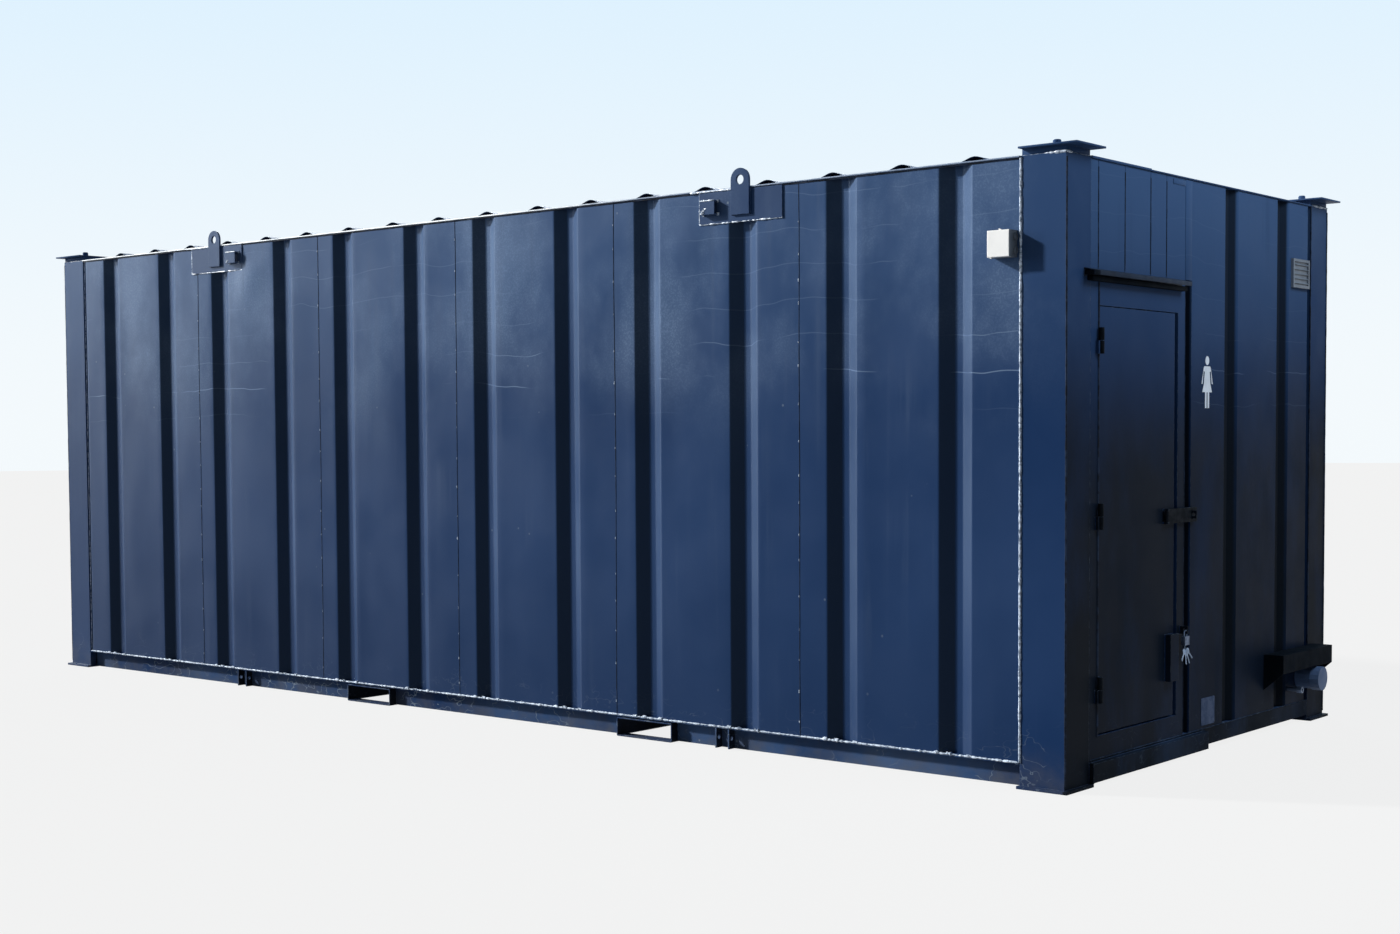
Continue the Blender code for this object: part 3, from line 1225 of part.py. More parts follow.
soil_hole = (at(DUCT_START - 0.1, SOIL_ACROSS, SOIL_UP), at(DUCT_START + 0.1, SOIL_ACROSS, SOIL_UP))
cut(partition, rods((*soil_hole, SOIL_RADIUS + GAP)))
front_middle = FRONT_ACROSS + PANEL / 2
leaf_up = (PANEL_FOOT + SILL_HEIGHT + SWING, PANEL_TOP - HEAD_RAIL - SWING)
pivots = []
pivot_holes = []
for start in door_starts:
    along = start + PIVOT_IN
    low = at(along, front_middle, leaf_up[0])
    high = at(along, front_middle, leaf_up[1])
    inside = 0.004 * up_one
    pivots.append(
        (
            (low - PIVOT_LENGTH * up_one, low + inside, PIVOT_RADIUS),
            (high - inside, high + PIVOT_LENGTH * up_one, PIVOT_RADIUS),
        )
    )
    pivot_holes.append((low - (PIVOT_LENGTH + GAP) * up_one, low, PIVOT_RADIUS + RUNNING))
    pivot_holes.append((high, high + (PIVOT_LENGTH + GAP) * up_one, PIVOT_RADIUS + RUNNING))
cut(partition, rods(*pivot_holes))

# Cubicle doors on pivots, each with a sliding indicator bolt in guides on its inner face
inner_face = FRONT_ACROSS + PANEL
bolt_up = (BOLT_UP - BOLT_HEIGHT / 2, BOLT_UP + BOLT_HEIGHT / 2)
for number, start in enumerate(door_starts, 1):
    leaf_along = (start, start + DOOR_PANEL_WIDTH)
    axis = at(start + PIVOT_IN, front_middle, leaf_up[0])
    leaf = add_part(f"cubicle_door_{number}", boxes((leaf_along, front_sides, leaf_up)), LAMINATE, axis)
    join(leaf, rods(*pivots[number - 1]))
    bolt_end = start + DOOR_PANEL_WIDTH - BOLT_INSET
    bolt_along = (bolt_end - BOLT_LENGTH, bolt_end)
    knob_along = bolt_along[0] + BOLT_KNOB_IN
    guide_along = (bolt_along[0] + BOLT_INSET / 2, bolt_end - BOLT_INSET / 2)
    guide_sides = (inner_face - PANEL / 4, inner_face + BOLT_THICK + GAP + BOLT_COVER)
    guide_up = (bolt_up[0] - GAP - BOLT_GUIDE, bolt_up[1] + GAP + BOLT_GUIDE)
    channel_sides = (inner_face, inner_face + BOLT_THICK + GAP)
    channel_up = (bolt_up[0] - GAP, bolt_up[1] + GAP)
    join(leaf, boxes((guide_along, guide_sides, guide_up)))
    cut(leaf, boxes(((guide_along[0] - 0.01, guide_along[1] + 0.01), channel_sides, channel_up)))
    knob_room = BOLT_KNOB + 0.002
    knob_run = (knob_along - knob_room, knob_along + BOLT_TRAVEL + knob_room)
    knob_sides = (inner_face + BOLT_THICK / 2, inner_face + 0.1)
    cut(leaf, boxes((knob_run, knob_sides, (BOLT_UP - knob_room, BOLT_UP + knob_room))))
    keep_from = start + DOOR_PANEL_WIDTH + SWING + BOLT_INSET
    keep_along = (keep_from, keep_from + BOLT_KEEP)
    join(partition, boxes((keep_along, guide_sides, guide_up)))
    cut(partition, boxes(((keep_along[0] - 0.003, keep_along[1] + 0.003), channel_sides, channel_up)))
    bolt_sides = (inner_face + GAP, inner_face + BOLT_THICK)
    bolt_origin = at(bolt_end, inner_face, BOLT_UP)
    bolt = add_part(f"cubicle_bolt_{number}", boxes((bolt_along, bolt_sides, bolt_up)), CHROME, bolt_origin)
    knob_at = at(knob_along, inner_face + BOLT_THICK / 2, BOLT_UP)
    join(bolt, rods((knob_at, knob_at + Vector((0, BOLT_THICK / 2 + 0.018, 0)), BOLT_KNOB)))


def add_rings(bm, rings, sides=28):
    """A closed loft through oval rings, each given by its centre, half width, half length and height."""
    loops = []
    for along, across, half_width, half_length, up in rings:
        loop = []
        for index in range(sides):
            angle = 2 * math.pi * index / sides
            point = at(along + half_width * math.cos(angle), across + half_length * math.sin(angle), up)
            loop.append(bm.verts.new(point))
        loops.append([bm.edges.new((a, b)) for a, b in zip(loop, loop[1:] + loop[:1])])
    for low, high in zip(loops, loops[1:]):
        bmesh.ops.bridge_loops(bm, edges=low + high)
    for loop in (loops[0], loops[-1]):
        bmesh.ops.edgeloop_fill(bm, edges=loop)


# WC pans with seats, cisterns and flush levers, one set in each cubicle
bowl_middle = DUCT_FACE - PAN_LENGTH + PAN_BOWL_LENGTH / 2
hinge_back = DUCT_FACE - PAN_LENGTH + PAN_BOWL_LENGTH + SEAT_BARREL
for number, centre in enumerate(pan_centres, 1):
    half_width = PAN_WIDTH / 2
    half_length = PAN_BOWL_LENGTH / 2
    foot_half = PAN_FOOT_WIDTH / 2
    foot = FLOOR_TOP + GAP
    rings = [
        (centre, bowl_middle + 0.05, foot_half, half_length * 0.70, foot),
        (centre, bowl_middle + 0.05, foot_half * 0.95, half_length * 0.66, foot + 0.12),
        (centre, bowl_middle + 0.03, foot_half * 1.15, half_length * 0.80, foot + 0.24),
        (centre, bowl_middle, half_width * 0.98, half_length * 0.98, RIM_UP - 0.05),
        (centre, bowl_middle, half_width, half_length, RIM_UP),
    ]
    pan = bmesh.new()
    add_rings(pan, rings)
    pan = add_part(f"wc_pan_{number}", pan, CERAMIC)
    back_half = PAN_BACK_WIDTH / 2
    back_sides = (bowl_middle + half_length * 0.5, DUCT_FACE)
    join(pan, boxes(((centre - back_half, centre + back_half), back_sides, (foot, RIM_UP - 0.003))))
    bowl_width = half_width - PAN_RIM_WALL
    bowl_length = half_length - PAN_RIM_WALL
    bowl_foot = RIM_UP - PAN_BOWL_DEPTH
    bowl = bmesh.new()
    bowl_rings = [
        (centre, bowl_middle + 0.03, bowl_width * 0.35, bowl_length * 0.35, bowl_foot),
        (centre, bowl_middle + 0.02, bowl_width * 0.75, bowl_length * 0.75, bowl_foot + 0.05),
        (centre, bowl_middle, bowl_width * 0.97, bowl_length * 0.97, RIM_UP - 0.05),
        (centre, bowl_middle, bowl_width, bowl_length, RIM_UP + 0.02),
    ]
    add_rings(bowl, bowl_rings)
    cut(pan, bowl)
    trap_from = at(centre, bowl_middle + 0.03, bowl_foot + PAN_TRAP / 2)
    cut(pan, rods((trap_from, at(centre, DUCT_FACE + 0.02, SOIL_UP), PAN_TRAP)))
    hinge_up = RIM_UP + SEAT_HINGE_UP
    lug_places = [centre + side * SEAT_LUG_SPREAD / 2 for side in (-1, 1)]
    lug_half = SEAT_LUG_WIDTH / 2
    posts = []
    post_sides = (hinge_back - SEAT_POST / 2, hinge_back + SEAT_POST / 2)
    for side in (-1, 1):
        along = centre + side * (SEAT_LUG_SPREAD / 2 - SEAT_LUG_WIDTH)
        post_along = (along - SEAT_POST / 2, along + SEAT_POST / 2)
        posts.append((post_along, post_sides, (RIM_UP - 0.02, hinge_up + SEAT_POST / 2)))
    join(pan, boxes(*posts))
    pin_reach = SEAT_LUG_SPREAD / 2 + lug_half
    seat_pin = (at(centre - pin_reach, hinge_back, hinge_up), at(centre + pin_reach, hinge_back, hinge_up))
    join(pan, rods((*seat_pin, SEAT_PIN)))

    seat_axis = at(centre, hinge_back, hinge_up)
    seat_low = RIM_UP + GAP
    seat_middle = bowl_middle - 0.004
    ring = bmesh.new()
    seat_length = half_length - 0.004
    add_rings(
        ring,
        [
            (centre, seat_middle, half_width - 0.002, seat_length, seat_low),
            (centre, seat_middle, half_width - 0.002, seat_length, seat_low + SEAT_THICK * 0.6),
            (centre, seat_middle, half_width - 0.012, seat_length - 0.010, seat_low + SEAT_THICK),
        ],
    )
    seat = add_part(f"wc_seat_{number}", ring, WHITE_PLASTIC, seat_axis)
    hole = bmesh.new()
    hole_width = half_width - SEAT_WIDTH
    hole_length = half_length - SEAT_WIDTH - 0.004
    add_rings(
        hole,
        [
            (centre, seat_middle, hole_width, hole_length, seat_low - 0.02),
            (centre, seat_middle, hole_width, hole_length, seat_low + 0.05),
        ],
    )
    cut(seat, hole)
    arms = []
    arm_up = (seat_low + 0.004, hinge_up + 0.004)
    for along in lug_places:
        arm_along = (along - lug_half + GAP, along + lug_half - GAP)
        arms.append((arm_along, (hinge_back - SEAT_ARM, hinge_back), arm_up))
    join(seat, boxes(*arms))
    barrels = []
    for along in lug_places:
        ends = [at(a, hinge_back, hinge_up) for a in (along - lug_half + GAP, along + lug_half - GAP)]
        barrels.append((ends[0], ends[1], SEAT_BARREL))
    join(seat, rods(*barrels))
    seat_bore = (at(centre - 0.2, hinge_back, hinge_up), at(centre + 0.2, hinge_back, hinge_up))
    cut(seat, rods((*seat_bore, SEAT_PIN + RUNNING)))

    tank_along = (centre - CISTERN_WIDTH / 2, centre + CISTERN_WIDTH / 2)
    tank_sides = (DUCT_FACE - CISTERN_DEPTH, DUCT_FACE)
    tank_up = (CISTERN_UP, CISTERN_UP + CISTERN_HEIGHT)
    tank = boxes((tank_along, tank_sides, tank_up))
    round_edges(tank, tank.edges[:], MOULD_ROUND, 2)
    tank = add_part(f"cistern_{number}", tank, CERAMIC)
    pipe_at = DUCT_FACE - FLUSH_PIPE_BACK
    pipe = (at(centre, pipe_at, RIM_UP - 0.003 + GAP), at(centre, pipe_at, CISTERN_UP + 0.03), FLUSH_PIPE)
    join(tank, rods(pipe))
    lever_at = at(centre - CISTERN_WIDTH / 2 + LEVER_IN, tank_sides[0], tank_up[1] - LEVER_IN)
    inward = Vector((0, 1, 0))
    cut(tank, rods((lever_at - 0.02 * inward, lever_at + 0.030 * inward, LEVER_SPINDLE + RUNNING)))

    spindle_from = lever_at - (LEVER_OUT + LEVER_THICK / 2) * inward
    spindle = rods((spindle_from, lever_at + 0.028 * inward, LEVER_SPINDLE))
    lever = add_part(f"flush_lever_{number}", spindle, CHROME, lever_at)
    lever_from = centre - CISTERN_WIDTH / 2 + LEVER_IN
    lever_sides = (tank_sides[0] - LEVER_OUT - LEVER_THICK, tank_sides[0] - LEVER_OUT)
    lever_up = (lever_at.z - 0.009, lever_at.z + 0.009)
    join(lever, boxes(((lever_from - 0.010, lever_from + LEVER_ARM), lever_sides, lever_up)))

# Wash basin on the service duct, with a mixer tap and its lever
basin_along = (BASIN_START, BASIN_START + BASIN_WIDTH)
basin_sides = (DUCT_FACE - BASIN_REACH, DUCT_FACE)
basin = boxes((basin_along, basin_sides, (BASIN_TOP - BASIN_HEIGHT, BASIN_TOP)))
round_edges(basin, basin.edges[:], MOULD_ROUND, 2)
basin = add_part("wash_basin", basin, CERAMIC)
bowl_along = (basin_along[0] + BASIN_WALL, basin_along[1] - BASIN_WALL)
bowl_sides = (basin_sides[0] + BASIN_WALL, basin_sides[1] - BASIN_LEDGE)
bowl = boxes((bowl_along, bowl_sides, (BASIN_TOP - BASIN_BOWL, BASIN_TOP + 0.1)))
round_edges(bowl, bowl.edges[:], BOWL_ROUND, 3)
cut(basin, bowl)

tap_across = DUCT_FACE - BASIN_LEDGE / 2
tap_along = BASIN_START + BASIN_WIDTH / 2
tap_foot = at(tap_along, tap_across, BASIN_TOP + GAP)
tap_top = at(tap_along, tap_across, BASIN_TOP + TAP_HEIGHT)
tap = add_part("mixer_tap", rods((tap_foot, tap_top, TAP_RADIUS)), CHROME)
spout_from = at(tap_along, tap_across, BASIN_TOP + TAP_HEIGHT * 0.6)
spout_to = at(tap_along, tap_across - TAP_SPOUT, BASIN_TOP + TAP_HEIGHT * 0.8)
join(tap, rods((spout_from, spout_to, TAP_SPOUT_RADIUS)))
join(tap, rods((tap_top - 0.002 * up_one, tap_top + 0.012 * up_one, TAP_STEM)))
knob_foot = tap_top + GAP * up_one
knob_top = tap_top + 0.022 * up_one
tap_lever = add_part("tap_lever", rods((knob_foot, knob_top, TAP_RADIUS * 0.95)), CHROME, tap_top)
handle = (
    (tap_along - 0.006, tap_along + 0.006),
    (tap_across - TAP_LEVER, tap_across),
    (tap_top.z + 0.010, tap_top.z + 0.018),
)
join(tap_lever, boxes(handle))
cut(tap_lever, rods((tap_top - 0.01 * up_one, tap_top + 0.013 * up_one, TAP_STEM + RUNNING)))

# Water heater on the side wall above the duct, and the ceiling light
heater_along = (HEATER_FROM, HEATER_FROM + HEATER_WIDTH)
heater = boxes((heater_along, (duct_back - HEATER_DEPTH, duct_back), (HEATER_UP, HEATER_UP + HEATER_HEIGHT)))
round_edges(heater, heater.edges[:], HEATER_ROUND, 2)
add_part("water_heater", heater, WHITE_PLASTIC)
light_along = (LENGTH / 2 - LIGHT_LENGTH / 2, LENGTH / 2 + LIGHT_LENGTH / 2)
light_sides = (FRONT_ACROSS / 2 - LIGHT_WIDTH / 2, FRONT_ACROSS / 2 + LIGHT_WIDTH / 2)
light = boxes((light_along, light_sides, (CEILING_UP - LIGHT_DROP, CEILING_UP)))
low_edges = [e for e in light.edges if all(v.co.z < CEILING_UP - LIGHT_DROP / 2 for v in e.verts)]
round_edges(light, low_edges, LIGHT_ROUND, 2)
add_part("ceiling_light", light, WHITE_PLASTIC)

round_pieces = ("soil_pipe", "soil_pipe_cap", "fan_impeller", "mixer_tap", "tap_lever", "wc_")
for obj in parts.objects:
    if obj.name.startswith(round_pieces):
        smooth(obj)
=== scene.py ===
"""The toilet cabin's looks: paint, buckled sheets, weld beads, fittings and rooms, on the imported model."""

import collections
import math

import bmesh
import bpy
from mathutils import Matrix, Vector, noise


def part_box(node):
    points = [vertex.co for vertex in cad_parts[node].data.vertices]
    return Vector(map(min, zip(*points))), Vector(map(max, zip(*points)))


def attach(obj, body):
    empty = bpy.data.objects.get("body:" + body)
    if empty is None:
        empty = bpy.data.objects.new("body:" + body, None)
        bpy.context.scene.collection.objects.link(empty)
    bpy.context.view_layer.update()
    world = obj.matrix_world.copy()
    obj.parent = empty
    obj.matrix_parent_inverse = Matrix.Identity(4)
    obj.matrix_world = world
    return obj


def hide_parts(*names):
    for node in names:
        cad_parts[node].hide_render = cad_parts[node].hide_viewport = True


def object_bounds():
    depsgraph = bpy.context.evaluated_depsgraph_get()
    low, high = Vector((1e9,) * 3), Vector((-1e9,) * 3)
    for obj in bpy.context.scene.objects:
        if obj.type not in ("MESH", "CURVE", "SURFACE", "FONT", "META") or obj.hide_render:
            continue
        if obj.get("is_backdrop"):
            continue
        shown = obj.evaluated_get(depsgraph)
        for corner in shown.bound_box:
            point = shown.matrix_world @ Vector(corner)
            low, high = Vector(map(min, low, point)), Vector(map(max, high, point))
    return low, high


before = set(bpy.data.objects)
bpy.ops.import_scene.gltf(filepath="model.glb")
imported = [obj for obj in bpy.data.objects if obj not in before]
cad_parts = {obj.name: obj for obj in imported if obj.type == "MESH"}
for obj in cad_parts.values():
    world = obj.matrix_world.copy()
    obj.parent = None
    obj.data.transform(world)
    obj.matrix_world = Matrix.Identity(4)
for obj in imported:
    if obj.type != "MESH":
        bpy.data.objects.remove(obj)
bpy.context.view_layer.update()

# ----------------
# Base. Side rails with a set-back web, cross joists, jacking lugs and two fork pockets, folded and welded
# from steel plate. It is painted with the rest, and takes the most stones and splashed mud.
BASE_PLATE_OUT = 0.022
end_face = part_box("corner_post_1")[1].x - BASE_PLATE_OUT


def add_node(tree, kind, inputs=(), **settings):
    """A shader node with its sockets set to values or joined to other sockets."""
    made = tree.nodes.new("ShaderNode" + kind)
    for name, value in settings.items():
        setattr(made, name, value)
    for key, value in dict(inputs).items():
        if isinstance(value, bpy.types.NodeSocket):
            tree.links.new(value, made.inputs[key])
        else:
            made.inputs[key].default_value = value
    return made


def count(tree, operation, first, second=0.0, third=0.0):
    """One sum on two or three numbers."""
    return add_node(tree, "Math", {0: first, 1: second, 2: third}, operation=operation).outputs[0]


def times(tree, first, second):
    """Two masks or numbers multiplied."""
    return count(tree, "MULTIPLY", first, second)


def blend(tree, share, first, second):
    """Two colours mixed by a mask."""
    return add_node(tree, "Mix", {0: share, 6: first, 7: second}, data_type="RGBA").outputs[2]


def fall(tree, value, start, end, low=0.0, high=1.0):
    """A value eased from one range to another, and held at its ends."""
    spans = {0: value, 1: start, 2: end, 3: low, 4: high}
    return add_node(tree, "MapRange", spans, interpolation_type="SMOOTHSTEP").outputs[0]


def grain(tree, scale, detail=3.0, rough=0.5, stretch=(1.0, 1.0, 1.0), shift=(0.0, 0.0, 0.0)):
    """Noise over the piece, in metres, stretched along its axes."""
    where = add_node(tree, "TexCoord").outputs["Object"]
    place = add_node(tree, "Mapping", {"Vector": where, "Scale": stretch, "Location": shift}).outputs[0]
    look = {"Vector": place, "Scale": scale, "Detail": detail, "Roughness": rough}
    return add_node(tree, "TexNoise", look).outputs["Fac"]


def place_along(tree, axis):
    """Each point's place along an axis, in metres."""
    where = add_node(tree, "TexCoord").outputs["Object"]
    return add_node(tree, "SeparateXYZ", {0: where}).outputs[axis]


def height(tree):
    """How high each point stands over the ground."""
    return place_along(tree, "Z")


def turned_to(tree, axis):
    """How squarely the surface faces along an axis, from -1 to 1."""
    lies = add_node(tree, "NewGeometry").outputs["Normal"]
    return add_node(tree, "SeparateXYZ", {0: lies}).outputs[axis]


def new_effect(name, inputs, outputs):
    """An empty shader group, with the sockets that feed it and those that it fills."""
    group = bpy.data.node_groups.new(name, "ShaderNodeTree")
    for title, value in inputs:
        group.interface.new_socket(title, in_out="INPUT", socket_type="NodeSocketFloat").default_value = value
    for title, kind in outputs:
        group.interface.new_socket(title, in_out="OUTPUT", socket_type="NodeSocket" + kind)
    given = group.nodes.new("NodeGroupInput").outputs
    wanted = group.nodes.new("NodeGroupOutput").inputs
    return group, given, wanted


def use_effect(tree, group, **values):
    """An effect placed in a material, with its own values."""
    made = tree.nodes.new("ShaderNodeGroup")
    made.node_tree = group
    for key, value in values.items():
        made.inputs[key.replace("_", " ")].default_value = value
    return made.outputs


# Edges: rounded a little, and rubbed along the round
masks = [("Rubbed", "Float"), ("Round", "Vector")]
edge_wear, given, wanted = new_effect("Edge wear", [("Radius", 0.003)], masks)
tree = edge_wear
rounded = add_node(tree, "Bevel", {"Radius": given["Radius"]}, samples=4).outputs[0]
plain = add_node(tree, "NewGeometry").outputs["Normal"]
likeness = add_node(tree, "VectorMath", {0: rounded, 1: plain}, operation="DOT_PRODUCT").outputs["Value"]
patches = fall(tree, grain(tree, 34.0, 4.0, 0.6), 0.44, 0.62)
tree.links.new(times(tree, fall(tree, likeness, 0.985, 0.86), patches), wanted["Rubbed"])
tree.links.new(rounded, wanted["Round"])

# Weather and painted light: faded clouds, chalk high up with painted sheen and glint specks, rain streaks,
# dust from the ground, chips and scuffs, painted shade low on the end away from the sun, a painted sky sheen
# towards the top, and painted highlight on faces turned to the sun
kinds = ("Fade", "Chalk_and_sheen", "Streaks", "Dust", "Chips", "End_shade", "Top_sheen", "Sun_highlight")
weather_and_light, given, wanted = new_effect("Weather and painted light", [("Dust height", 0.4)], [(kind, "Float") for kind in kinds])
tree = weather_and_light
tree.links.new(fall(tree, grain(tree, 0.9, 4.0, 0.55), 0.35, 0.68), wanted["Fade"])

# Chalk high up, mixed with painted sheen in cloudy patches and painted glints in fine specks
chalk_sheen_patches = fall(tree, grain(tree, 1.6, 4.0, 0.6, stretch=(1.0, 1.0, 0.7), shift=(2.0, 8.0, 1.0)), 0.42, 0.72)
glint_specks = fall(tree, grain(tree, 120.0, 2.0, 0.7), 0.46, 0.64, 0.62, 1.0)
high_chalk_sheen = times(tree, fall(tree, height(tree), 1.25, 2.45), glint_specks)
tree.links.new(times(tree, chalk_sheen_patches, high_chalk_sheen), wanted["Chalk_and_sheen"])

# Painted shade: black, low down, on faces turned to the shaded entrance end and on what stands past its face
deep = fall(tree, height(tree), 2.00, 1.25)
uneven = fall(tree, grain(tree, 2.6, 5.0, 0.65, stretch=(1.0, 1.0, 0.4)), 0.25, 0.60, 0.65, 1.0)
past_end = fall(tree, place_along(tree, "X"), end_face + 0.001, end_face + 0.005)
shaded = count(tree, "MAXIMUM", fall(tree, turned_to(tree, "X"), 0.20, 0.75), past_end)
tree.links.new(times(tree, times(tree, deep, uneven), shaded), wanted["End_shade"])

runs = fall(tree, grain(tree, 1.0, 5.0, 0.6, stretch=(15.0, 15.0, 0.45)), 0.5, 0.72)
rained = fall(tree, grain(tree, 1.7, 2.0, shift=(3.0, 1.0, 0.0)), 0.4, 0.65)
tree.links.new(times(tree, runs, rained), wanted["Streaks"])

low = fall(tree, count(tree, "DIVIDE", height(tree), given["Dust height"]), 1.0, 0.0)
splash = fall(tree, grain(tree, 6.0, 5.0, 0.65), 0.3, 0.7)
tree.links.new(times(tree, low, splash), wanted["Dust"])

where = add_node(tree, "TexCoord").outputs["Object"]
spots = add_node(tree, "TexVoronoi", {"Vector": where, "Scale": 13.0, "Randomness": 1.0})
few = fall(tree, add_node(tree, "SeparateColor", {0: spots.outputs["Color"]}).outputs[0], 0.93, 0.95)
small = fall(tree, spots.outputs["Distance"], 0.10, 0.05)
strokes = grain(tree, 9.0, 2.0, 0.5, stretch=(1.0, 1.0, 1.6), shift=(5.0, 3.0, 9.0))
stroke = fall(tree, count(tree, "ABSOLUTE", count(tree, "SUBTRACT", strokes, 0.5)), 0.010, 0.003)
knocked = times(tree, fall(tree, height(tree), 0.32, 0.08), fall(tree, grain(tree, 5.0, 3.0), 0.46, 0.56))
chips = count(tree, "MAXIMUM", times(tree, few, small), times(tree, stroke, knocked))
tree.links.new(chips, wanted["Chips"])

# Painted sky sheen: the paint lighter towards the top
tree.links.new(fall(tree, height(tree), 1.55, 2.60), wanted["Top_sheen"])
# Painted highlight on faces turned to the sun, in uneven streaks
SUN_SIDE = (-0.65, -0.70, 0.30)
lies = add_node(tree, "NewGeometry").outputs["Normal"]
sunlit = add_node(tree, "VectorMath", {0: lies, 1: SUN_SIDE}, operation="DOT_PRODUCT").outputs["Value"]
uneven_highlight = grain(tree, 2.2, 5.0, 0.65, stretch=(1.0, 1.0, 0.5), shift=(1.0, 4.0, 2.0))
uneven_highlight = fall(tree, uneven_highlight, 0.30, 0.62, 0.55, 1.0)
tree.links.new(times(tree, fall(tree, sunlit, 0.80, 0.90), uneven_highlight), wanted["Sun_highlight"])

# Hairline cracks: long level wavy lines, broken, where the coats have crazed, and fainter high up
LINE_PITCH = 0.16
hairlines, given, wanted = new_effect("Hairlines", [("Lowest", 1.56)], [("Line", "Float")])
tree = hairlines
wander = grain(tree, 1.5, 3.0, 0.5, stretch=(1.0, 1.0, 0.3))
rise = count(tree, "ADD", count(tree, "DIVIDE", height(tree), LINE_PITCH), times(tree, wander, 1.10))
apart = count(tree, "ABSOLUTE", count(tree, "SUBTRACT", count(tree, "FRACT", rise), 0.5))
thin = fall(tree, apart, 0.022, 0.006)
broken = fall(tree, grain(tree, 1.3, 3.0, 0.6, shift=(7.0, 2.0, 5.0)), 0.47, 0.55)
faint = fall(tree, height(tree), 1.84, 1.95, 1.0, 0.30)
crazed = times(tree, faint, fall(tree, height(tree), given["Lowest"], 1.68))
tree.links.new(times(tree, thin, times(tree, broken, crazed)), wanted["Line"])

NAVY_DEEP = (0.0105, 0.0310, 0.0930, 1.0)
NAVY_FADED = (0.0165, 0.0410, 0.1120, 1.0)
# Pale navy: fading at random, and the painted sky sheen towards the top
NAVY_PALE = (0.0500, 0.1000, 0.2150, 1.0)
# Chalk with painted sheen
NAVY_CHALK_SHEEN = (0.1400, 0.2050, 0.3250, 1.0)
# Painted highlight on faces turned to the sun
SUN_HIGHLIGHT = (0.1150, 0.1600, 0.2350, 1.0)
# Painted shade, near black
SHADE_BLACK = (0.0070, 0.0090, 0.0120, 1.0)
RUBBED_COAT = (0.155, 0.195, 0.255, 1.0)
RAIN_MARK = (0.034, 0.062, 0.130, 1.0)
ROAD_DUST = (0.105, 0.100, 0.092, 1.0)
HAIRLINE = (0.150, 0.215, 0.330, 1.0)
SKY_TINT = (0.46, 0.70, 1.00, 1.0)


def new_finish(name):
    """A material, with its node tree and its shader."""
    made = bpy.data.materials.new(name)
    made.use_nodes = True
    return made, made.node_tree, made.node_tree.nodes["Principled BSDF"]


def feed(tree, shader, colour, rough, relief=None):
    """Joins a finish's colour, roughness and bump to its shader."""
    tree.links.new(colour, shader.inputs["Base Color"])
    tree.links.new(rough, shader.inputs["Roughness"])
    if relief:
        tree.links.new(add_node(tree, "Bump", relief).outputs[0], shader.inputs["Normal"])


def navy_coat(name, streaks=0.35, dust=0.4, dust_height=0.35, wear=0.6, cracks=0.0, chalk_and_sheen=0.3, top_sheen=0.0,
              sun_highlight=0.0, dirt_and_shade=0.0, rough=0.40, gloss=0.20, rounding=0.003, faded=NAVY_FADED):
    """Satin navy paint on steel, with its own share of each weather mark and of painted sheen and shade, rubbed
    edges and hairline cracks.
    """
    made, tree, shader = new_finish(name)
    edges = use_effect(tree, edge_wear, Radius=rounding)
    marks = use_effect(tree, weather_and_light, Dust_height=dust_height)
    streaked = times(tree, marks["Streaks"], streaks)
    dusty = times(tree, marks["Dust"], dust)
    colour = blend(tree, marks["Fade"], NAVY_DEEP, faded)
    # In turn: chalk with painted sheen, painted sky sheen, painted sun highlight, rain marks, dust, painted
    # shade and hairlines
    for share, over in (
        (times(tree, marks["Chalk_and_sheen"], chalk_and_sheen), NAVY_CHALK_SHEEN),
        (times(tree, marks["Top_sheen"], top_sheen), NAVY_PALE),
        (times(tree, marks["Sun_highlight"], sun_highlight), SUN_HIGHLIGHT),
        (streaked, RAIN_MARK),
        (dusty, ROAD_DUST),
        (times(tree, marks["End_shade"], dirt_and_shade), SHADE_BLACK),
        (times(tree, use_effect(tree, hairlines)["Line"], cracks), HAIRLINE),
    ):
        colour = blend(tree, share, colour, over)
    clean = count(tree, "SUBTRACT", wear, times(tree, marks["End_shade"], dirt_and_shade * wear))
    chipped = count(tree, "MAXIMUM", times(tree, edges["Rubbed"], wear), times(tree, marks["Chips"], clean))
    colour = blend(tree, chipped, colour, RUBBED_COAT)
    patchy = fall(tree, grain(tree, 3.2, 4.0, 0.6), 0.3, 0.7, rough - 0.05, rough + 0.07)
    dull = count(tree, "MULTIPLY_ADD", count(tree, "MAXIMUM", dusty, streaked), 0.30, patchy)
    shader.inputs["Specular IOR Level"].default_value = gloss
    shader.inputs["Specular Tint"].default_value = SKY_TINT
    skin = count(tree, "MULTIPLY_ADD", grain(tree, 260.0, 2.0), 0.5, grain(tree, 42.0, 3.0))
    surface = count(tree, "MULTIPLY_ADD", chipped, -0.6, skin)
    feed(tree, shader, colour, dull,
         {"Height": surface, "Normal": edges["Round"], "Strength": 0.30, "Distance": 0.0006})
    return made


def coat(material, *names):
    """Gives CAD pieces a finish."""
    for name in names:
        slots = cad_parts[name].data.materials
        slots.clear()
        slots.append(material)


# Painted shade on faces turned to the entrance end and painted highlight on faces turned to the sun, with the
# base's mud and chips
base_coat = navy_coat("base_paint", streaks=0.25, dust=0.50, dust_height=0.16, wear=1.0, sun_highlight=0.5,
                      dirt_and_shade=0.95, rough=0.50, gloss=0.012, rounding=0.002, faded=NAVY_PALE)
coat(base_coat, "base_frame")


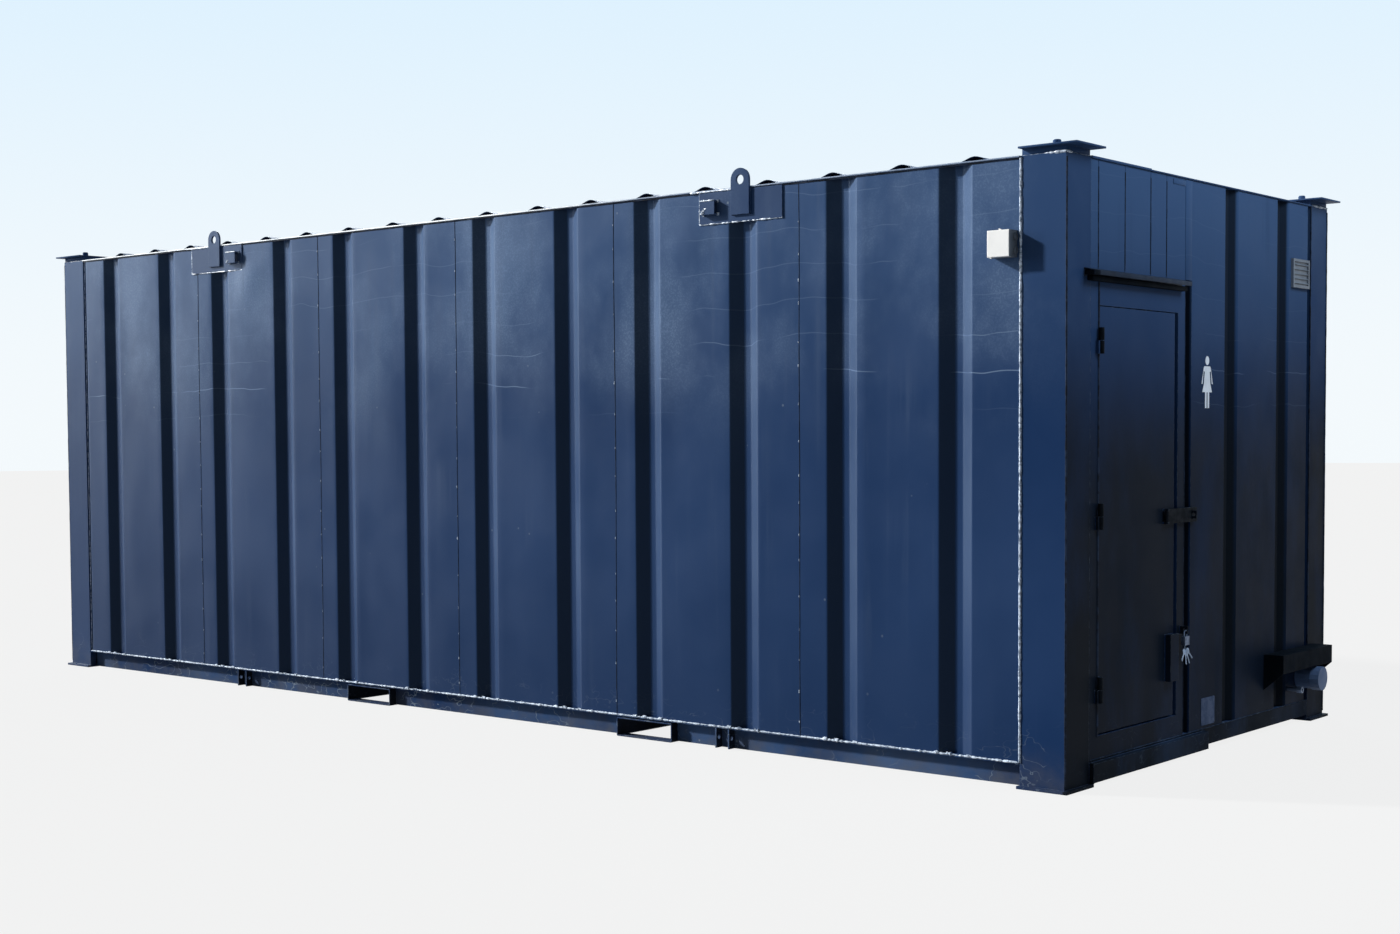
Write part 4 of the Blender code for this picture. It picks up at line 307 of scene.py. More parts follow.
def add_piece(name, bm, material, body="cabin", angle=40.0):
    """A piece that rides on a body, smooth but for its open edges and those sharper than an angle."""
    mesh = bpy.data.meshes.new(name)
    bm.to_mesh(mesh)
    bm.free()
    mesh.shade_smooth()
    mesh.set_sharp_from_angle(angle=math.radians(angle))
    uses = collections.Counter(loop.edge_index for loop in mesh.loops)
    for edge in mesh.edges:
        if uses[edge.index] == 1:
            edge.use_edge_sharp = True
    mesh.materials.append(material)
    piece = bpy.data.objects.new(name, mesh)
    bpy.context.scene.collection.objects.link(piece)
    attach(piece, body)
    return piece


def add_block(bm, middle, size, turn=Matrix()):
    """A block, by its middle, its size and its turn."""
    place = Matrix.Translation(middle) @ turn @ Matrix.Diagonal((*size, 1.0))
    bmesh.ops.create_cube(bm, size=1.0, matrix=place)


def round_edges(bm, edges, offset, segments=2, clamp=False):
    """Edges rounded off, if need be only as far as the faces beside them allow."""
    bmesh.ops.bevel(bm, geom=edges, offset=offset, segments=segments, profile=0.5, affect="EDGES",
                    clamp_overlap=clamp, material=-1)


def slice_at(bm, point, way):
    """Cuts a mesh at a plane, and keeps both sides."""
    whole = bm.verts[:] + bm.edges[:] + bm.faces[:]
    bmesh.ops.bisect_plane(bm, geom=whole, plane_co=point, plane_no=way, dist=1e-5)


def thicken(piece, title, thickness):
    """Gives a skin its thickness, inward."""
    made = piece.modifiers.new(title, "SOLIDIFY")
    made.thickness = thickness
    made.offset = -1.0


# Fork pockets: a tube at each side with its floor cut away between, so that daylight shows under the fork
POCKET_PLATE = 0.006
POCKET_MOUTH = 0.070
# Painted shade on faces turned to the entrance end, with mud and chips
pocket_coat = navy_coat("pocket_paint", streaks=0.2, dust=0.50, dust_height=0.16, wear=1.0, dirt_and_shade=0.9,
                        rough=0.50, gloss=0.03, rounding=0.006)
for end in ("front", "rear"):
    low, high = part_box("fork_pocket_" + end)
    tube = bmesh.new()
    add_block(tube, (low + high) / 2, high - low)
    ends = [f for f in tube.faces if abs(f.normal.y) > 0.9]
    bmesh.ops.delete(tube, geom=ends, context="FACES_ONLY")
    round_edges(tube, [e for e in tube.edges if e.calc_length() > 2.0], 0.007, 3)
    for cut in (low.y + POCKET_MOUTH, high.y - POCKET_MOUTH):
        slice_at(tube, (0, cut, 0), (0, 1, 0))
    centres = {f: f.calc_center_median() for f in tube.faces}
    under = [f for f, centre in centres.items() if centre.z < low.z + 0.001 and abs(centre.y) < 1.0]
    bmesh.ops.delete(tube, geom=under, context="FACES")
    pocket = add_piece("fork_pocket_" + end + "_tube", tube, pocket_coat, angle=35.0)
    thicken(pocket, "Plate", POCKET_PLATE)
    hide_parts("fork_pocket_" + end)

# ----------------
# Corner posts. Folded steel plate on a base plate, with a collar and a stacking plate welded on top of
# each. A slim round-headed lug on the plate finds the foot of a cabin that is stacked above.
WIDTH, LENGTH = 2.755, 7.234
POST_FACE = 0.2085
near_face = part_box("corner_post_1")[0].y + BASE_PLATE_OUT
# The posts at the shaded entrance end and at the sunlit rear take two copies of one paint: the entrance copy
# carries painted shade, the rear copy more painted sheen
post_coat = navy_coat("post_paint", streaks=0.3, dust=0.3, dust_height=0.22, wear=0.55, top_sheen=0.40,
                      dirt_and_shade=0.95, rough=0.38, gloss=0.012, rounding=0.004)
rear_post_coat = navy_coat("rear_post_paint", streaks=0.3, dust=0.3, dust_height=0.22, wear=0.55, top_sheen=0.50,
                           chalk_and_sheen=0.6, rough=0.38, gloss=0.10, rounding=0.004)
coat(post_coat, "corner_post_1", "corner_post_3")
coat(rear_post_coat, "corner_post_2", "corner_post_4")


def at(along, across, up):
    """The point at these distances from the entrance end's face, the near side's face and the ground."""
    return Vector((end_face - along, near_face + across, up))


STACK_PLATE = 0.008
CAD_LUG_HEIGHT = 0.018
LUG_IN, LUG_MIDDLE, LUG_LENGTH = 0.095, 0.013, 0.036
LUG_FOOT_RADIUS, LUG_HEAD_RADIUS, LUG_ROUND = 0.0185, 0.0170, 0.006
for number in (1, 2, 3, 4):
    low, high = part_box(f"stacking_plate_{number}")
    rear, far = number in (2, 4), number in (3, 4)
    inward = Vector((1 if rear else -1, -1 if far else 1, 0))
    corner = at(LENGTH if rear else 0, WIDTH if far else 0, 0)
    plate_top = high.z - CAD_LUG_HEIGHT
    collar_side, collar_top = POST_FACE - 0.006, plate_top - STACK_PLATE
    collar = corner + inward * POST_FACE / 2 + Vector((0, 0, (low.z + collar_top) / 2))
    plate_middle = Vector(((low.x + high.x) / 2, (low.y + high.y) / 2, plate_top - STACK_PLATE / 2))
    stack = bmesh.new()
    add_block(stack, plate_middle, (high.x - low.x, high.y - low.y, STACK_PLATE))
    add_block(stack, collar, (collar_side, collar_side, collar_top - low.z))
    round_edges(stack, stack.edges[:], 0.001)
    place = Matrix.Translation(corner + inward * LUG_IN + Vector((0, 0, plate_top + LUG_MIDDLE)))
    bmesh.ops.create_cone(stack, cap_ends=True, segments=24, radius1=LUG_FOOT_RADIUS, radius2=LUG_HEAD_RADIUS,
                          depth=LUG_LENGTH, matrix=place)
    rim = [e for e in stack.edges if e.verts[0].co.z == e.verts[1].co.z and e.verts[0].co.z > plate_top + 0.010]
    round_edges(stack, rim, LUG_ROUND, 4)
    stack_piece = add_piece(f"stacking_plate_{number}_lugged", stack, post_coat)
    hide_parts(f"stacking_plate_{number}")

# ----------------
# Pressed walls. Two-millimetre sheet with pressed grooves, a little buckled between them by the welding.
# Each stands in for the plain sheet of the model, with rounded folds and true dents.
SHEET = 0.002
WALL_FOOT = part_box("side_wall_left")[0].z
WALL_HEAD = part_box("side_wall_left")[1].z
GROOVE_WIDTH = 0.163
GROOVE_DEPTH = 0.036
GROOVE_RUN = 0.062
FOLD_ROUND = 0.0055
CUT_RUN, LEVEL_CUTS = 0.045, 54
LOW_SHADE_NAVY = (0.0065, 0.0220, 0.0700, 1.0)


def overlay(material, mask, colour):
    """Lays one more colour over a finish, by a mask made in its tree."""
    tree = material.node_tree
    paint = tree.nodes["Principled BSDF"].inputs["Base Color"]
    tree.links.new(blend(tree, mask(tree), paint.links[0].from_socket, colour), paint)


# Wall paint with chalk and painted sheen, a painted sky sheen towards the top and painted highlight on faces
# turned to the sun
wall_coat = navy_coat("wall_paint", streaks=0.35, dust=0.04, dust_height=0.42, wear=0.5, cracks=0.75,
                      chalk_and_sheen=1.0, top_sheen=0.45, sun_highlight=0.30, rough=0.34, gloss=0.125)
# Painted shade: the walls darker towards the foot
overlay(wall_coat, lambda tree: fall(tree, height(tree), 1.10, 0.20, 0.0, 0.55), LOW_SHADE_NAVY)
# Painted shade: faces turned to the entrance end, away from the sun, such as the groove flanks, darkened
overlay(wall_coat, lambda tree: fall(tree, turned_to(tree, "X"), 0.18, 0.42, 0.0, 0.62), SHADE_BLACK)


def groove(centre):
    """The four folds of a pressed groove, as places along the wall and depths."""
    half = GROOVE_WIDTH / 2
    inner = half - GROOVE_RUN
    floor_folds = [(centre - inner, GROOVE_DEPTH), (centre + inner, GROOVE_DEPTH)]
    return [(centre - half, 0), *floor_folds, (centre + half, 0)]


PAD_EDGES = (1.99, 5.30)
PAD_PULL_UP = 2.42
FOLD_EASE, END_EASE = 0.10, 0.20
BIG_WAVE, SMALL_WAVE = 0.0048, 0.0016


def buckle(run, up, folds, seed):
    """How far a flat stands proud at a point: soft waves that die out at the folds, the foot and the head."""
    clear = min(abs(run - fold) for fold in folds)
    clear = min(clear / FOLD_EASE, (up - WALL_FOOT) / END_EASE, (WALL_HEAD - up) / END_EASE, 1.0)
    ease = max(0.0, clear) ** 2 * (3 - 2 * max(0.0, clear))
    pull = sum(math.exp(-((run - near) ** 2 + (up - PAD_PULL_UP) ** 2 * 0.6) / 0.012) for near in PAD_EDGES)
    wave = noise.noise(Vector((run * 2.3, up * 1.25, seed))) + 1.6 * pull
    ripple = noise.noise(Vector((run * 5.2, up * 3.1, seed + 9.0)))
    return ease * (BIG_WAVE * wave + SMALL_WAVE * ripple)


def only_verts(geometry):
    """The vertices among what an operator gave back."""
    return [v for v in geometry if isinstance(v, bmesh.types.BMVert)]


def turn_faces(bm, way):
    """Turns the faces of a skin, so that together they look along a way."""
    bmesh.ops.recalc_face_normals(bm, faces=bm.faces[:])
    facing = sum((f.normal * f.calc_area() for f in bm.faces), Vector())
    if facing.dot(way) < 0:
        bmesh.ops.reverse_faces(bm, faces=bm.faces[:])


def pressed_wall(name, node, folds, lie, outward, seed):
    """A wall sheet: its folds raised from foot to head, rounded, cut small and buckled."""
    bm = bmesh.new()
    row = [bm.verts.new(lie(run, depth, WALL_FOOT)) for run, depth in folds]
    line = [bm.edges.new(pair) for pair in zip(row, row[1:])]
    tops = only_verts(bmesh.ops.extrude_edge_only(bm, edges=line)["geom"])
    bmesh.ops.translate(bm, vec=(0, 0, WALL_HEAD - WALL_FOOT), verts=tops)
    round_edges(bm, [e for e in bm.edges if len(e.link_faces) == 2], FOLD_ROUND, 3, True)
    start, end = folds[0][0], folds[-1][0]
    direction = (lie(end, 0, 0) - lie(start, 0, 0)).normalized()
    cuts = int((end - start) / CUT_RUN)
    for step in range(1, cuts):
        slice_at(bm, lie(start + (end - start) * step / cuts, 0, 0), direction)
    upright = [e for e in bm.edges if abs(e.verts[0].co.z - e.verts[1].co.z) > 0.5]
    bmesh.ops.subdivide_edges(bm, edges=upright, cuts=LEVEL_CUTS, use_grid_fill=True)
    origin = lie(0, 0, 0)
    fold_runs = [run for run, depth in folds]
    for vert in bm.verts:
        run = (vert.co - origin).dot(direction)
        vert.co += outward * buckle(run, vert.co.z, fold_runs, seed)
    turn_faces(bm, outward)
    wall = add_piece(name, bm, wall_coat, angle=50.0)
    thicken(wall, "Sheet", SHEET)
    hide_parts(node)


POST_GAP = 0.0003
FIRST_SEAM, PANEL_PITCH = 1.340, 1.1172
SEAMS = [FIRST_SEAM + PANEL_PITCH * step for step in range(5)]
GROOVES = [0.5228, 1.1083] + [seam + offset for seam in SEAMS for offset in (0.3200, 0.9055)]
REAR_PITCH = 0.5895
REAR_STEP, REAR_STEP_IN = 0.025, 0.012
NEAR_SEED, FAR_SEED, REAR_SEED = 1.7, 5.3, 8.1
wall_start, side_end = POST_FACE + POST_GAP, LENGTH - POST_FACE - POST_GAP
side_folds = [(wall_start, 0)]
for middle in GROOVES:
    side_folds += groove(middle)
step_start = side_end - REAR_STEP
side_folds += [(step_start - 0.003, 0), (step_start, REAR_STEP_IN), (side_end, REAR_STEP_IN)]
pressed_wall("side_wall_near_pressed", "side_wall_left", side_folds, at, Vector((0, -1, 0)), NEAR_SEED)
pressed_wall("side_wall_far_pressed", "side_wall_right", side_folds,
             lambda run, deep, up: at(run, WIDTH - deep, up), Vector((0, 1, 0)), FAR_SEED)
rear_folds = [(wall_start, 0)]
for step in (-1.5, -0.5, 0.5, 1.5):
    rear_folds += groove(WIDTH / 2 + step * REAR_PITCH)
rear_folds += [(WIDTH - POST_FACE - POST_GAP, 0)]
pressed_wall("end_wall_rear_pressed", "end_wall_rear", rear_folds,
             lambda run, deep, up: at(LENGTH - deep, run, up), Vector((-1, 0, 0)), REAR_SEED)
# The entrance end's paint carries painted shade low down and a painted sky sheen towards the top
end_coat = navy_coat("end_paint", streaks=0.3, dust=0.1, wear=0.5, cracks=0.3, chalk_and_sheen=0.2, top_sheen=0.95,
                     dirt_and_shade=0.85, rough=0.40, gloss=0.012)
# Painted shade in the grooves that are set back from the end's face
RECESS_EDGE, RECESS_DEEP = end_face - 0.003, end_face - 0.012
overlay(end_coat, lambda tree: fall(tree, place_along(tree, "X"), RECESS_EDGE, RECESS_DEEP, 0.0, 0.88),
        SHADE_BLACK)
coat(end_coat, "end_wall_front", "door_head_infill")

# ----------------
# Eaves rails and roof. A folded angle along the head of each wall, and one ribbed sheet over all of it,
# with round ribs pressed right across and open at the eaves.
roof_coat = navy_coat("roof_paint", streaks=0.2, dust=0.0, wear=0.8, rough=0.46)
# The front rail takes the entrance end's copy of the post paint with its painted shade, the other rails the
# rear's copy
coat(post_coat, "top_rail_front")
coat(rear_post_coat, "top_rail_left", "top_rail_right", "top_rail_rear")
roof_low, roof_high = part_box("roof_sheet")
ROOF_SHEET = 0.0015
RIB_ROOM = 0.020
RIB_HEIGHT, RIB_HALF = 0.0195, 0.078
FIRST_RIB, RIB_PITCH, RIB_COUNT = 0.434, 0.3636, 18
ribs = [end_face - FIRST_RIB - RIB_PITCH * step for step in range(RIB_COUNT)]


def rib_rise(x):
    """How high the roof stands over its flats."""
    away = min(abs(x - rib) for rib in ribs)
    return RIB_HEIGHT * (0.5 + 0.5 * math.cos(math.pi * min(1.0, away / RIB_HALF)))


roof = bmesh.new()
corner_verts = [roof.verts.new((x, roof_low.y, roof_high.z - RIB_ROOM)) for x in (roof_low.x, roof_high.x)]
gutter = roof.edges.new(corner_verts)
across_verts = only_verts(bmesh.ops.extrude_edge_only(roof, edges=[gutter])["geom"])
bmesh.ops.translate(roof, vec=(0, roof_high.y - roof_low.y, 0), verts=across_verts)
for rib in ribs:
    for step in range(-5, 6):
        slice_at(roof, (rib + RIB_HALF * step / 5, 0, 0), (1, 0, 0))
for step in range(-4, 5):
    slice_at(roof, (0, 0.3 * step, 0), (0, 1, 0))
for vert in roof.verts:
    vert.co.z += rib_rise(vert.co.x)
turn_faces(roof, Vector((0, 0, 1)))
roof_piece = add_piece("roof_sheet_ribbed", roof, roof_coat, angle=60.0)
thicken(roof_piece, "Sheet", ROOF_SHEET)
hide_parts("roof_sheet")

# ----------------
# Weld beads and joints. Rippled metal laid by hand along the posts, seams, ledges and plates, with the paint
# thin on it and its bare patches painted pale as glints, dark gaps where two pieces only meet, and dark
# lines of painted shade.
WELD_DULL, WELD_BARE_GLINT = (0.075, 0.115, 0.190, 1.0), (0.74, 0.85, 1.00, 1.0)
JOINT_SHADE_DARK, JOINT_SHADE_DUSTY = (0.0035, 0.0060, 0.0120, 1.0), (0.020, 0.034, 0.070, 1.0)
weld_metal, tree, shader = new_finish("painted_weld")
# Bare metal, painted pale sky-blue as a glint
bare_glint = fall(tree, grain(tree, 55.0, 4.0, 0.65), 0.34, 0.60)
broad = fall(tree, grain(tree, 2.2, 3.0), 0.30, 0.60, 0.75, 1.0)
feed(tree, shader, blend(tree, times(tree, bare_glint, broad), WELD_DULL, WELD_BARE_GLINT),
     fall(tree, bare_glint, 0.0, 1.0, 0.42, 0.28),
     {"Height": grain(tree, 190.0, 4.0, 0.7), "Strength": 0.6, "Distance": 0.001})

# Dark joints, and dark lines of painted shade
joint_and_shade_coat, tree, shader = new_finish("dark_joint_and_shade")
feed(tree, shader, blend(tree, fall(tree, grain(tree, 18.0, 4.0, 0.7), 0.40, 0.62), JOINT_SHADE_DARK, JOINT_SHADE_DUSTY),
     fall(tree, grain(tree, 40.0), 0.3, 0.7, 0.5, 0.7))
shader.inputs["Specular IOR Level"].default_value = 0.1

RIPPLE_GRAIN, GAP_GRAIN = 83.0, 7.0
THINNEST = 0.12


def lay_bead(bm, start, end, radius, ripple=0.009, lumps=0.35, gaps=0.0):
    """One straight run of weld: a thin bar, cut into ripples, each swollen or sunk, and broken by gaps."""
    run = end - start
    way = run.normalized()
    turn = way.to_track_quat("Z", "Y").to_matrix().to_4x4()
    place = Matrix.Translation((start + end) / 2) @ turn
    bar = bmesh.new()
    bmesh.ops.create_cone(bar, cap_ends=True, segments=7, radius1=radius, radius2=radius, depth=run.length,
                          matrix=place)
    sides = [e for e in bar.edges if e.calc_length() > run.length * 0.9]
    bmesh.ops.subdivide_edges(bar, edges=sides, cuts=max(1, int(run.length / ripple)))
    for vert in bar.verts:
        middle = start + way * (vert.co - start).dot(way)
        key = middle * RIPPLE_GRAIN
        swell = 1.0 + lumps * noise.noise(key) + 0.6 * lumps * noise.noise(key * 0.31)
        if gaps:
            full = min(1.0, max(0.0, noise.noise(middle * GAP_GRAIN) * 6.0 + 1.0 - gaps))
            swell *= THINNEST + (1.0 - THINNEST) * full
        vert.co = middle + (vert.co - middle) * max(THINNEST, swell)
    made = bpy.data.meshes.new("bead")
    bar.to_mesh(made)
    bar.free()
    bm.from_mesh(made)
    bpy.data.meshes.remove(made)


def upright_bead(bm, along, across, radius, *look, foot=WALL_FOOT, head=WALL_HEAD):
    """A bead that stands, as a rule from the walls' foot to their head."""
    lay_bead(bm, at(along, across, foot), at(along, across, head), radius, *look)


beads = bmesh.new()
for side in (0.0, WIDTH):
    upright_bead(beads, POST_FACE, side, 0.0060)
    upright_bead(beads, LENGTH - POST_FACE, abs(side - REAR_STEP_IN), 0.0030)
add_piece("post_welds", beads, weld_metal)

# Painted shade: dark lines where the posts' edges meet the end walls, and along each post's outer corner
beads = bmesh.new()
for face_end, edges in ((0.0, (WIDTH - POST_FACE,)), (LENGTH, (POST_FACE, WIDTH - POST_FACE))):
    for post_edge in edges:
        upright_bead(beads, face_end, post_edge, 0.0030)
CORNER_IN = 0.0035
for face_end in (0.0, LENGTH):
    for side in (CORNER_IN, WIDTH - CORNER_IN):
        upright_bead(beads, face_end, side, 0.0046, 0.03, 0.2, foot=0.03, head=2.60)
add_piece("post_shade_lines", beads, joint_and_shade_coat)


def follow_sheet(bm):
    """Moves what lies on the long walls out and in with the buckled sheet under it."""
    fold_runs = [run for run, depth in side_folds]
    for vert in bm.verts:
        far = vert.co.y > 0
        push = buckle(end_face - vert.co.x, vert.co.z, fold_runs, FAR_SEED if far else NEAR_SEED)
        vert.co.y += push if far else -push


beads = bmesh.new()
for side in (0.0, WIDTH):
    for seam in SEAMS:
        upright_bead(beads, seam, side, 0.0018, 0.050, 0.25)
follow_sheet(beads)
add_piece("panel_joints", beads, joint_and_shade_coat)

beads = bmesh.new()
for side in (0.0, WIDTH):
    for seam in SEAMS:
        up = WALL_FOOT + 0.06
        while up < WALL_HEAD - 0.05:
            size = 0.5 + 0.5 * noise.noise(Vector((seam * 3, side, up * 5)))
            foot = at(seam + 0.003, side, up)
            head = foot + Vector((0, 0, 0.004 + 0.014 * size))
            lay_bead(beads, foot, head, 0.0012 + 0.0013 * size, 0.005, 0.9)
            up += 0.07 + 0.16 * (0.5 + 0.5 * noise.noise(Vector((up * 7, seam, 3.0))))
follow_sheet(beads)
add_piece("panel_tack_welds", beads, weld_metal)

LEDGE_TOP = 0.1077
beads = bmesh.new()
end_beads = bmesh.new()
for side in (0.0, WIDTH):
    start, end = (at(edge, side, LEDGE_TOP) for edge in (POST_FACE + 0.01, LENGTH - POST_FACE - 0.01))
    lay_bead(beads, start, end, 0.0040, 0.008, 1.1)
    for middle in GROOVES:
        for fold in (-GROOVE_WIDTH / 2, GROOVE_WIDTH / 2 - GROOVE_RUN, GROOVE_WIDTH / 2):
            spot = at(middle + fold, side, LEDGE_TOP + 0.002)
            lay_bead(beads, spot, spot + Vector((-0.022, 0, 0.001)), 0.0062, 0.006, 0.9)
for face_end in (0.0, LENGTH):
    start, end = (at(face_end, edge, LEDGE_TOP) for edge in (POST_FACE + 0.01, WIDTH - POST_FACE - 0.01))
    lay_bead(end_beads, start, end, 0.0028, 0.008, 0.6)
add_piece("ledge_welds", beads, weld_metal)
add_piece("end_ledge_welds", end_beads, base_coat)

POST_TOP = 2.62
COLLAR_EDGE, COLLAR_FAR = 0.002, 0.205
collar = ((COLLAR_FAR, COLLAR_EDGE), (COLLAR_EDGE, COLLAR_EDGE), (COLLAR_EDGE, COLLAR_FAR))
beads = bmesh.new()
for number in (1, 2, 3, 4):
    corners = [at(LENGTH - a if number in (2, 4) else a, WIDTH - b if number in (3, 4) else b, POST_TOP + 0.001)
               for a, b in collar]
    for one, two in zip(corners, corners[1:]):
        lay_bead(beads, one, two, 0.0052, 0.008, 0.8, 0.75)
add_piece("collar_welds", beads, weld_metal)

# Eaves edges: the outer edge of each long rail with a painted glare, brighter toward the rear, over a painted
# shadow line
EDGE_PAINT, EDGE_GLARE = (0.110, 0.165, 0.270, 1.0), (0.88, 0.93, 0.97, 1.0)
edge_glare, tree, shader = new_finish("glare_edge")
cloudy = count(tree, "MULTIPLY_ADD", grain(tree, 7.0, 4.0), 0.6, -0.3)
# Painted glare, brighter toward the rear
rearward = count(tree, "ADD", fall(tree, place_along(tree, "X"), 1.9, -0.1), cloudy)
feed(tree, shader, blend(tree, fall(tree, rearward, 0.0, 1.0), EDGE_PAINT, EDGE_GLARE),
     fall(tree, grain(tree, 30.0, 3.0), 0.3, 0.7, 0.45, 0.65))
edges = bmesh.new()
shadow_lines = bmesh.new()
rail_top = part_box("top_rail_left")[1].z
rail_ends = (POST_FACE + 0.004, LENGTH - POST_FACE - 0.004)
for side, sign in ((0.0, -1), (WIDTH, 1)):
    lay_bead(edges, *[at(end, side + sign * 0.0058, rail_top - 0.002) for end in rail_ends], 0.0038, 0.10, 0.3)
    # Painted shadow line under the eaves flange
    lay_bead(shadow_lines, *[at(end, side + sign * 0.0005, rail_top - 0.010) for end in rail_ends], 0.0030, 0.05, 0.2)
add_piece("eaves_edges", edges, edge_glare)
add_piece("eaves_shadow_lines", shadow_lines, joint_and_shade_coat)

# ----------------
# Lifting eyes. A pierced steel plate and a tie bracket on a doubling pad, two on each long side. Pad, eye
# and bracket are welded all round, some runs painted over and some showing bare metal, where it also stands
# for painted glint on the sides that catch the light, and a bright bead along each bracket's top is a painted
# highlight.
PAD_LOW, PAD_HIGH = 2.464, 2.611
EYE_FOOT, EYE_HALF, EYE_OFF = 2.495, 0.053, 0.008
TIE_OFF, TIE_MIDDLE, TIE_HALF_RUN, TIE_HALF_RISE = 0.180, 2.5375, 0.043, 0.0305
BRIM_UP, BRIM_OUT_NEAR, BRIM_OUT_FAR = 2.5695, 0.0295, 0.0175
bracket_coat = navy_coat("bracket_paint", streaks=0.2, dust=0.0, wear=0.85, rough=0.42, gloss=0.15,
                         rounding=0.0025)
coat(bracket_coat, *[f"lifting_eye_{number}" for number in (1, 2, 3, 4)])


def side_bead(bm, y, start, end, *look):
    """A bead on a long side of the cabin, from one x and z to another."""
    lay_bead(bm, Vector((start[0], y, start[1])), Vector((end[0], y, end[1])), *look)


# Bright runs go on the pad edges toward the light as painted glint, the others are painted over
bare_glint_runs = bmesh.new()
painted_runs = bmesh.new()
for number in (1, 2, 3, 4):
    low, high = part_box(f"lifting_eye_{number}")
    near, to_end = number < 3, 1 if number in (1, 3) else -1
    face, outside = (near_face, -1) if near else (near_face + WIDTH, 1)
    root = face + outside * 0.0062
    pad = ((low.x, PAD_HIGH), (low.x, PAD_LOW), (high.x, PAD_LOW), (high.x, PAD_HIGH))
    kinds = (bare_glint_runs, bare_glint_runs, painted_runs) if near else (painted_runs, bare_glint_runs, bare_glint_runs)
    for one, two, kind in zip(pad, pad[1:], kinds):
        side_bead(kind, face + outside * 0.003, one, two, 0.0034, 0.008, 0.7)
    brow = [(x, PAD_HIGH + 0.004) for x in (low.x - 0.05, high.x * 0.55 + low.x * 0.45)]
    side_bead(bare_glint_runs, face + outside * 0.0068, *brow, 0.0040, 0.008, 0.9)
    eye_x = (low.x + high.x) / 2 + to_end * EYE_OFF
    sides = (eye_x - EYE_HALF, eye_x + EYE_HALF)
    for x in sides:
        side_bead(painted_runs, root, (x, EYE_FOOT + 0.005), (x, PAD_HIGH), 0.0030, 0.008, 0.5)
    side_bead(painted_runs, root, *[(x, EYE_FOOT) for x in sides], 0.0030, 0.008, 0.5)
    tie_x = eye_x - to_end * TIE_OFF
    for x in (tie_x - TIE_HALF_RUN, tie_x + TIE_HALF_RUN):
        for rise in (-TIE_HALF_RISE, TIE_HALF_RISE):
            foot = Vector((x, root, TIE_MIDDLE + rise - 0.006))
            lay_bead(bare_glint_runs, foot, foot + Vector((0, 0, 0.012)), 0.006, 0.004, 0.7)
    # A painted highlight: a bright bead along the tie bracket's top
    brim = root + outside * (BRIM_OUT_NEAR if near else BRIM_OUT_FAR)
    side_bead(bare_glint_runs, brim, (tie_x - 0.044, BRIM_UP), (tie_x + 0.040, BRIM_UP), 0.0030, 0.007, 0.9)
    lump = Vector((tie_x - 0.036, brim - outside * 0.004, 2.508))
    for step, size in ((0.0, 0.0085), (0.010, 0.0065), (0.021, 0.0050)):
        ends = [lump + Vector((step + run, 0, step + rise)) for run, rise in ((0.0, 0.0), (0.010, 0.012))]
        lay_bead(bare_glint_runs, *ends, size, 0.004, 0.9)
add_piece("eye_welds", bare_glint_runs, weld_metal)
add_piece("eye_welds_painted", painted_runs, bracket_coat)

# ----------------
# Entrance. A folded steel frame and a tray door with a board core, hung on three lift-off hinges, with
# dark joints round the frame, and locked by a hasp strap and a padlock.
# Painted shade low down and a painted sky sheen towards the top, as on the end wall
door_coat = navy_coat("door_paint", streaks=0.3, dust=0.12, dust_height=0.55, wear=0.8, chalk_and_sheen=0.1, top_sheen=0.6,
                      dirt_and_shade=0.9, rough=0.38, gloss=0.012)
coat(door_coat, "door_skin", "door_frame")
HEAD_LOW, HEAD_HIGH = 2.168, 2.585
HINGE_SIDE, LOCK_SIDE = 0.2795, 1.1005
STRIP_END = 0.754
lines = bmesh.new()
for across in (0.274, 0.513, STRIP_END, 0.909):
    upright_bead(lines, 0.0005, across, 0.0034, 0.030, 0.2, foot=HEAD_LOW, head=HEAD_HIGH)
upright_bead(lines, 0.0, HINGE_SIDE, 0.0052, 0.030, 0.2, foot=0.20, head=2.155)
upright_bead(lines, 0.0005, LOCK_SIDE, 0.0022, 0.030, 0.2, foot=LEDGE_TOP + 0.01, head=HEAD_HIGH)
add_piece("frame_joints", lines, joint_and_shade_coat)

# A closing plate between the step and the post's foot
gusset = bmesh.new()
add_block(gusset, at(0.0085, 0.2138, 0.0565), (0.060, 0.0100, 0.0880))
round_edges(gusset, gusset.edges[:], 0.001)
add_piece("step_gusset", gusset, base_coat)

# A doubled strip along the head over the infill, a short cleat beside it, and a cover strip by the canopy
strips = bmesh.new()
add_block(strips, at(0.004, (POST_FACE + STRIP_END) / 2, 2.6215), (0.018, STRIP_END - POST_FACE, 0.006))
add_block(strips, at(-0.0008, 1.035, 2.592), (0.003, 0.125, 0.022))
add_block(strips, at(-0.0003, 1.1310, 2.387), (0.0030, 0.0660, 0.448))
round_edges(strips, strips.edges[:], 0.001)
add_piece("head_strips", strips, end_coat)


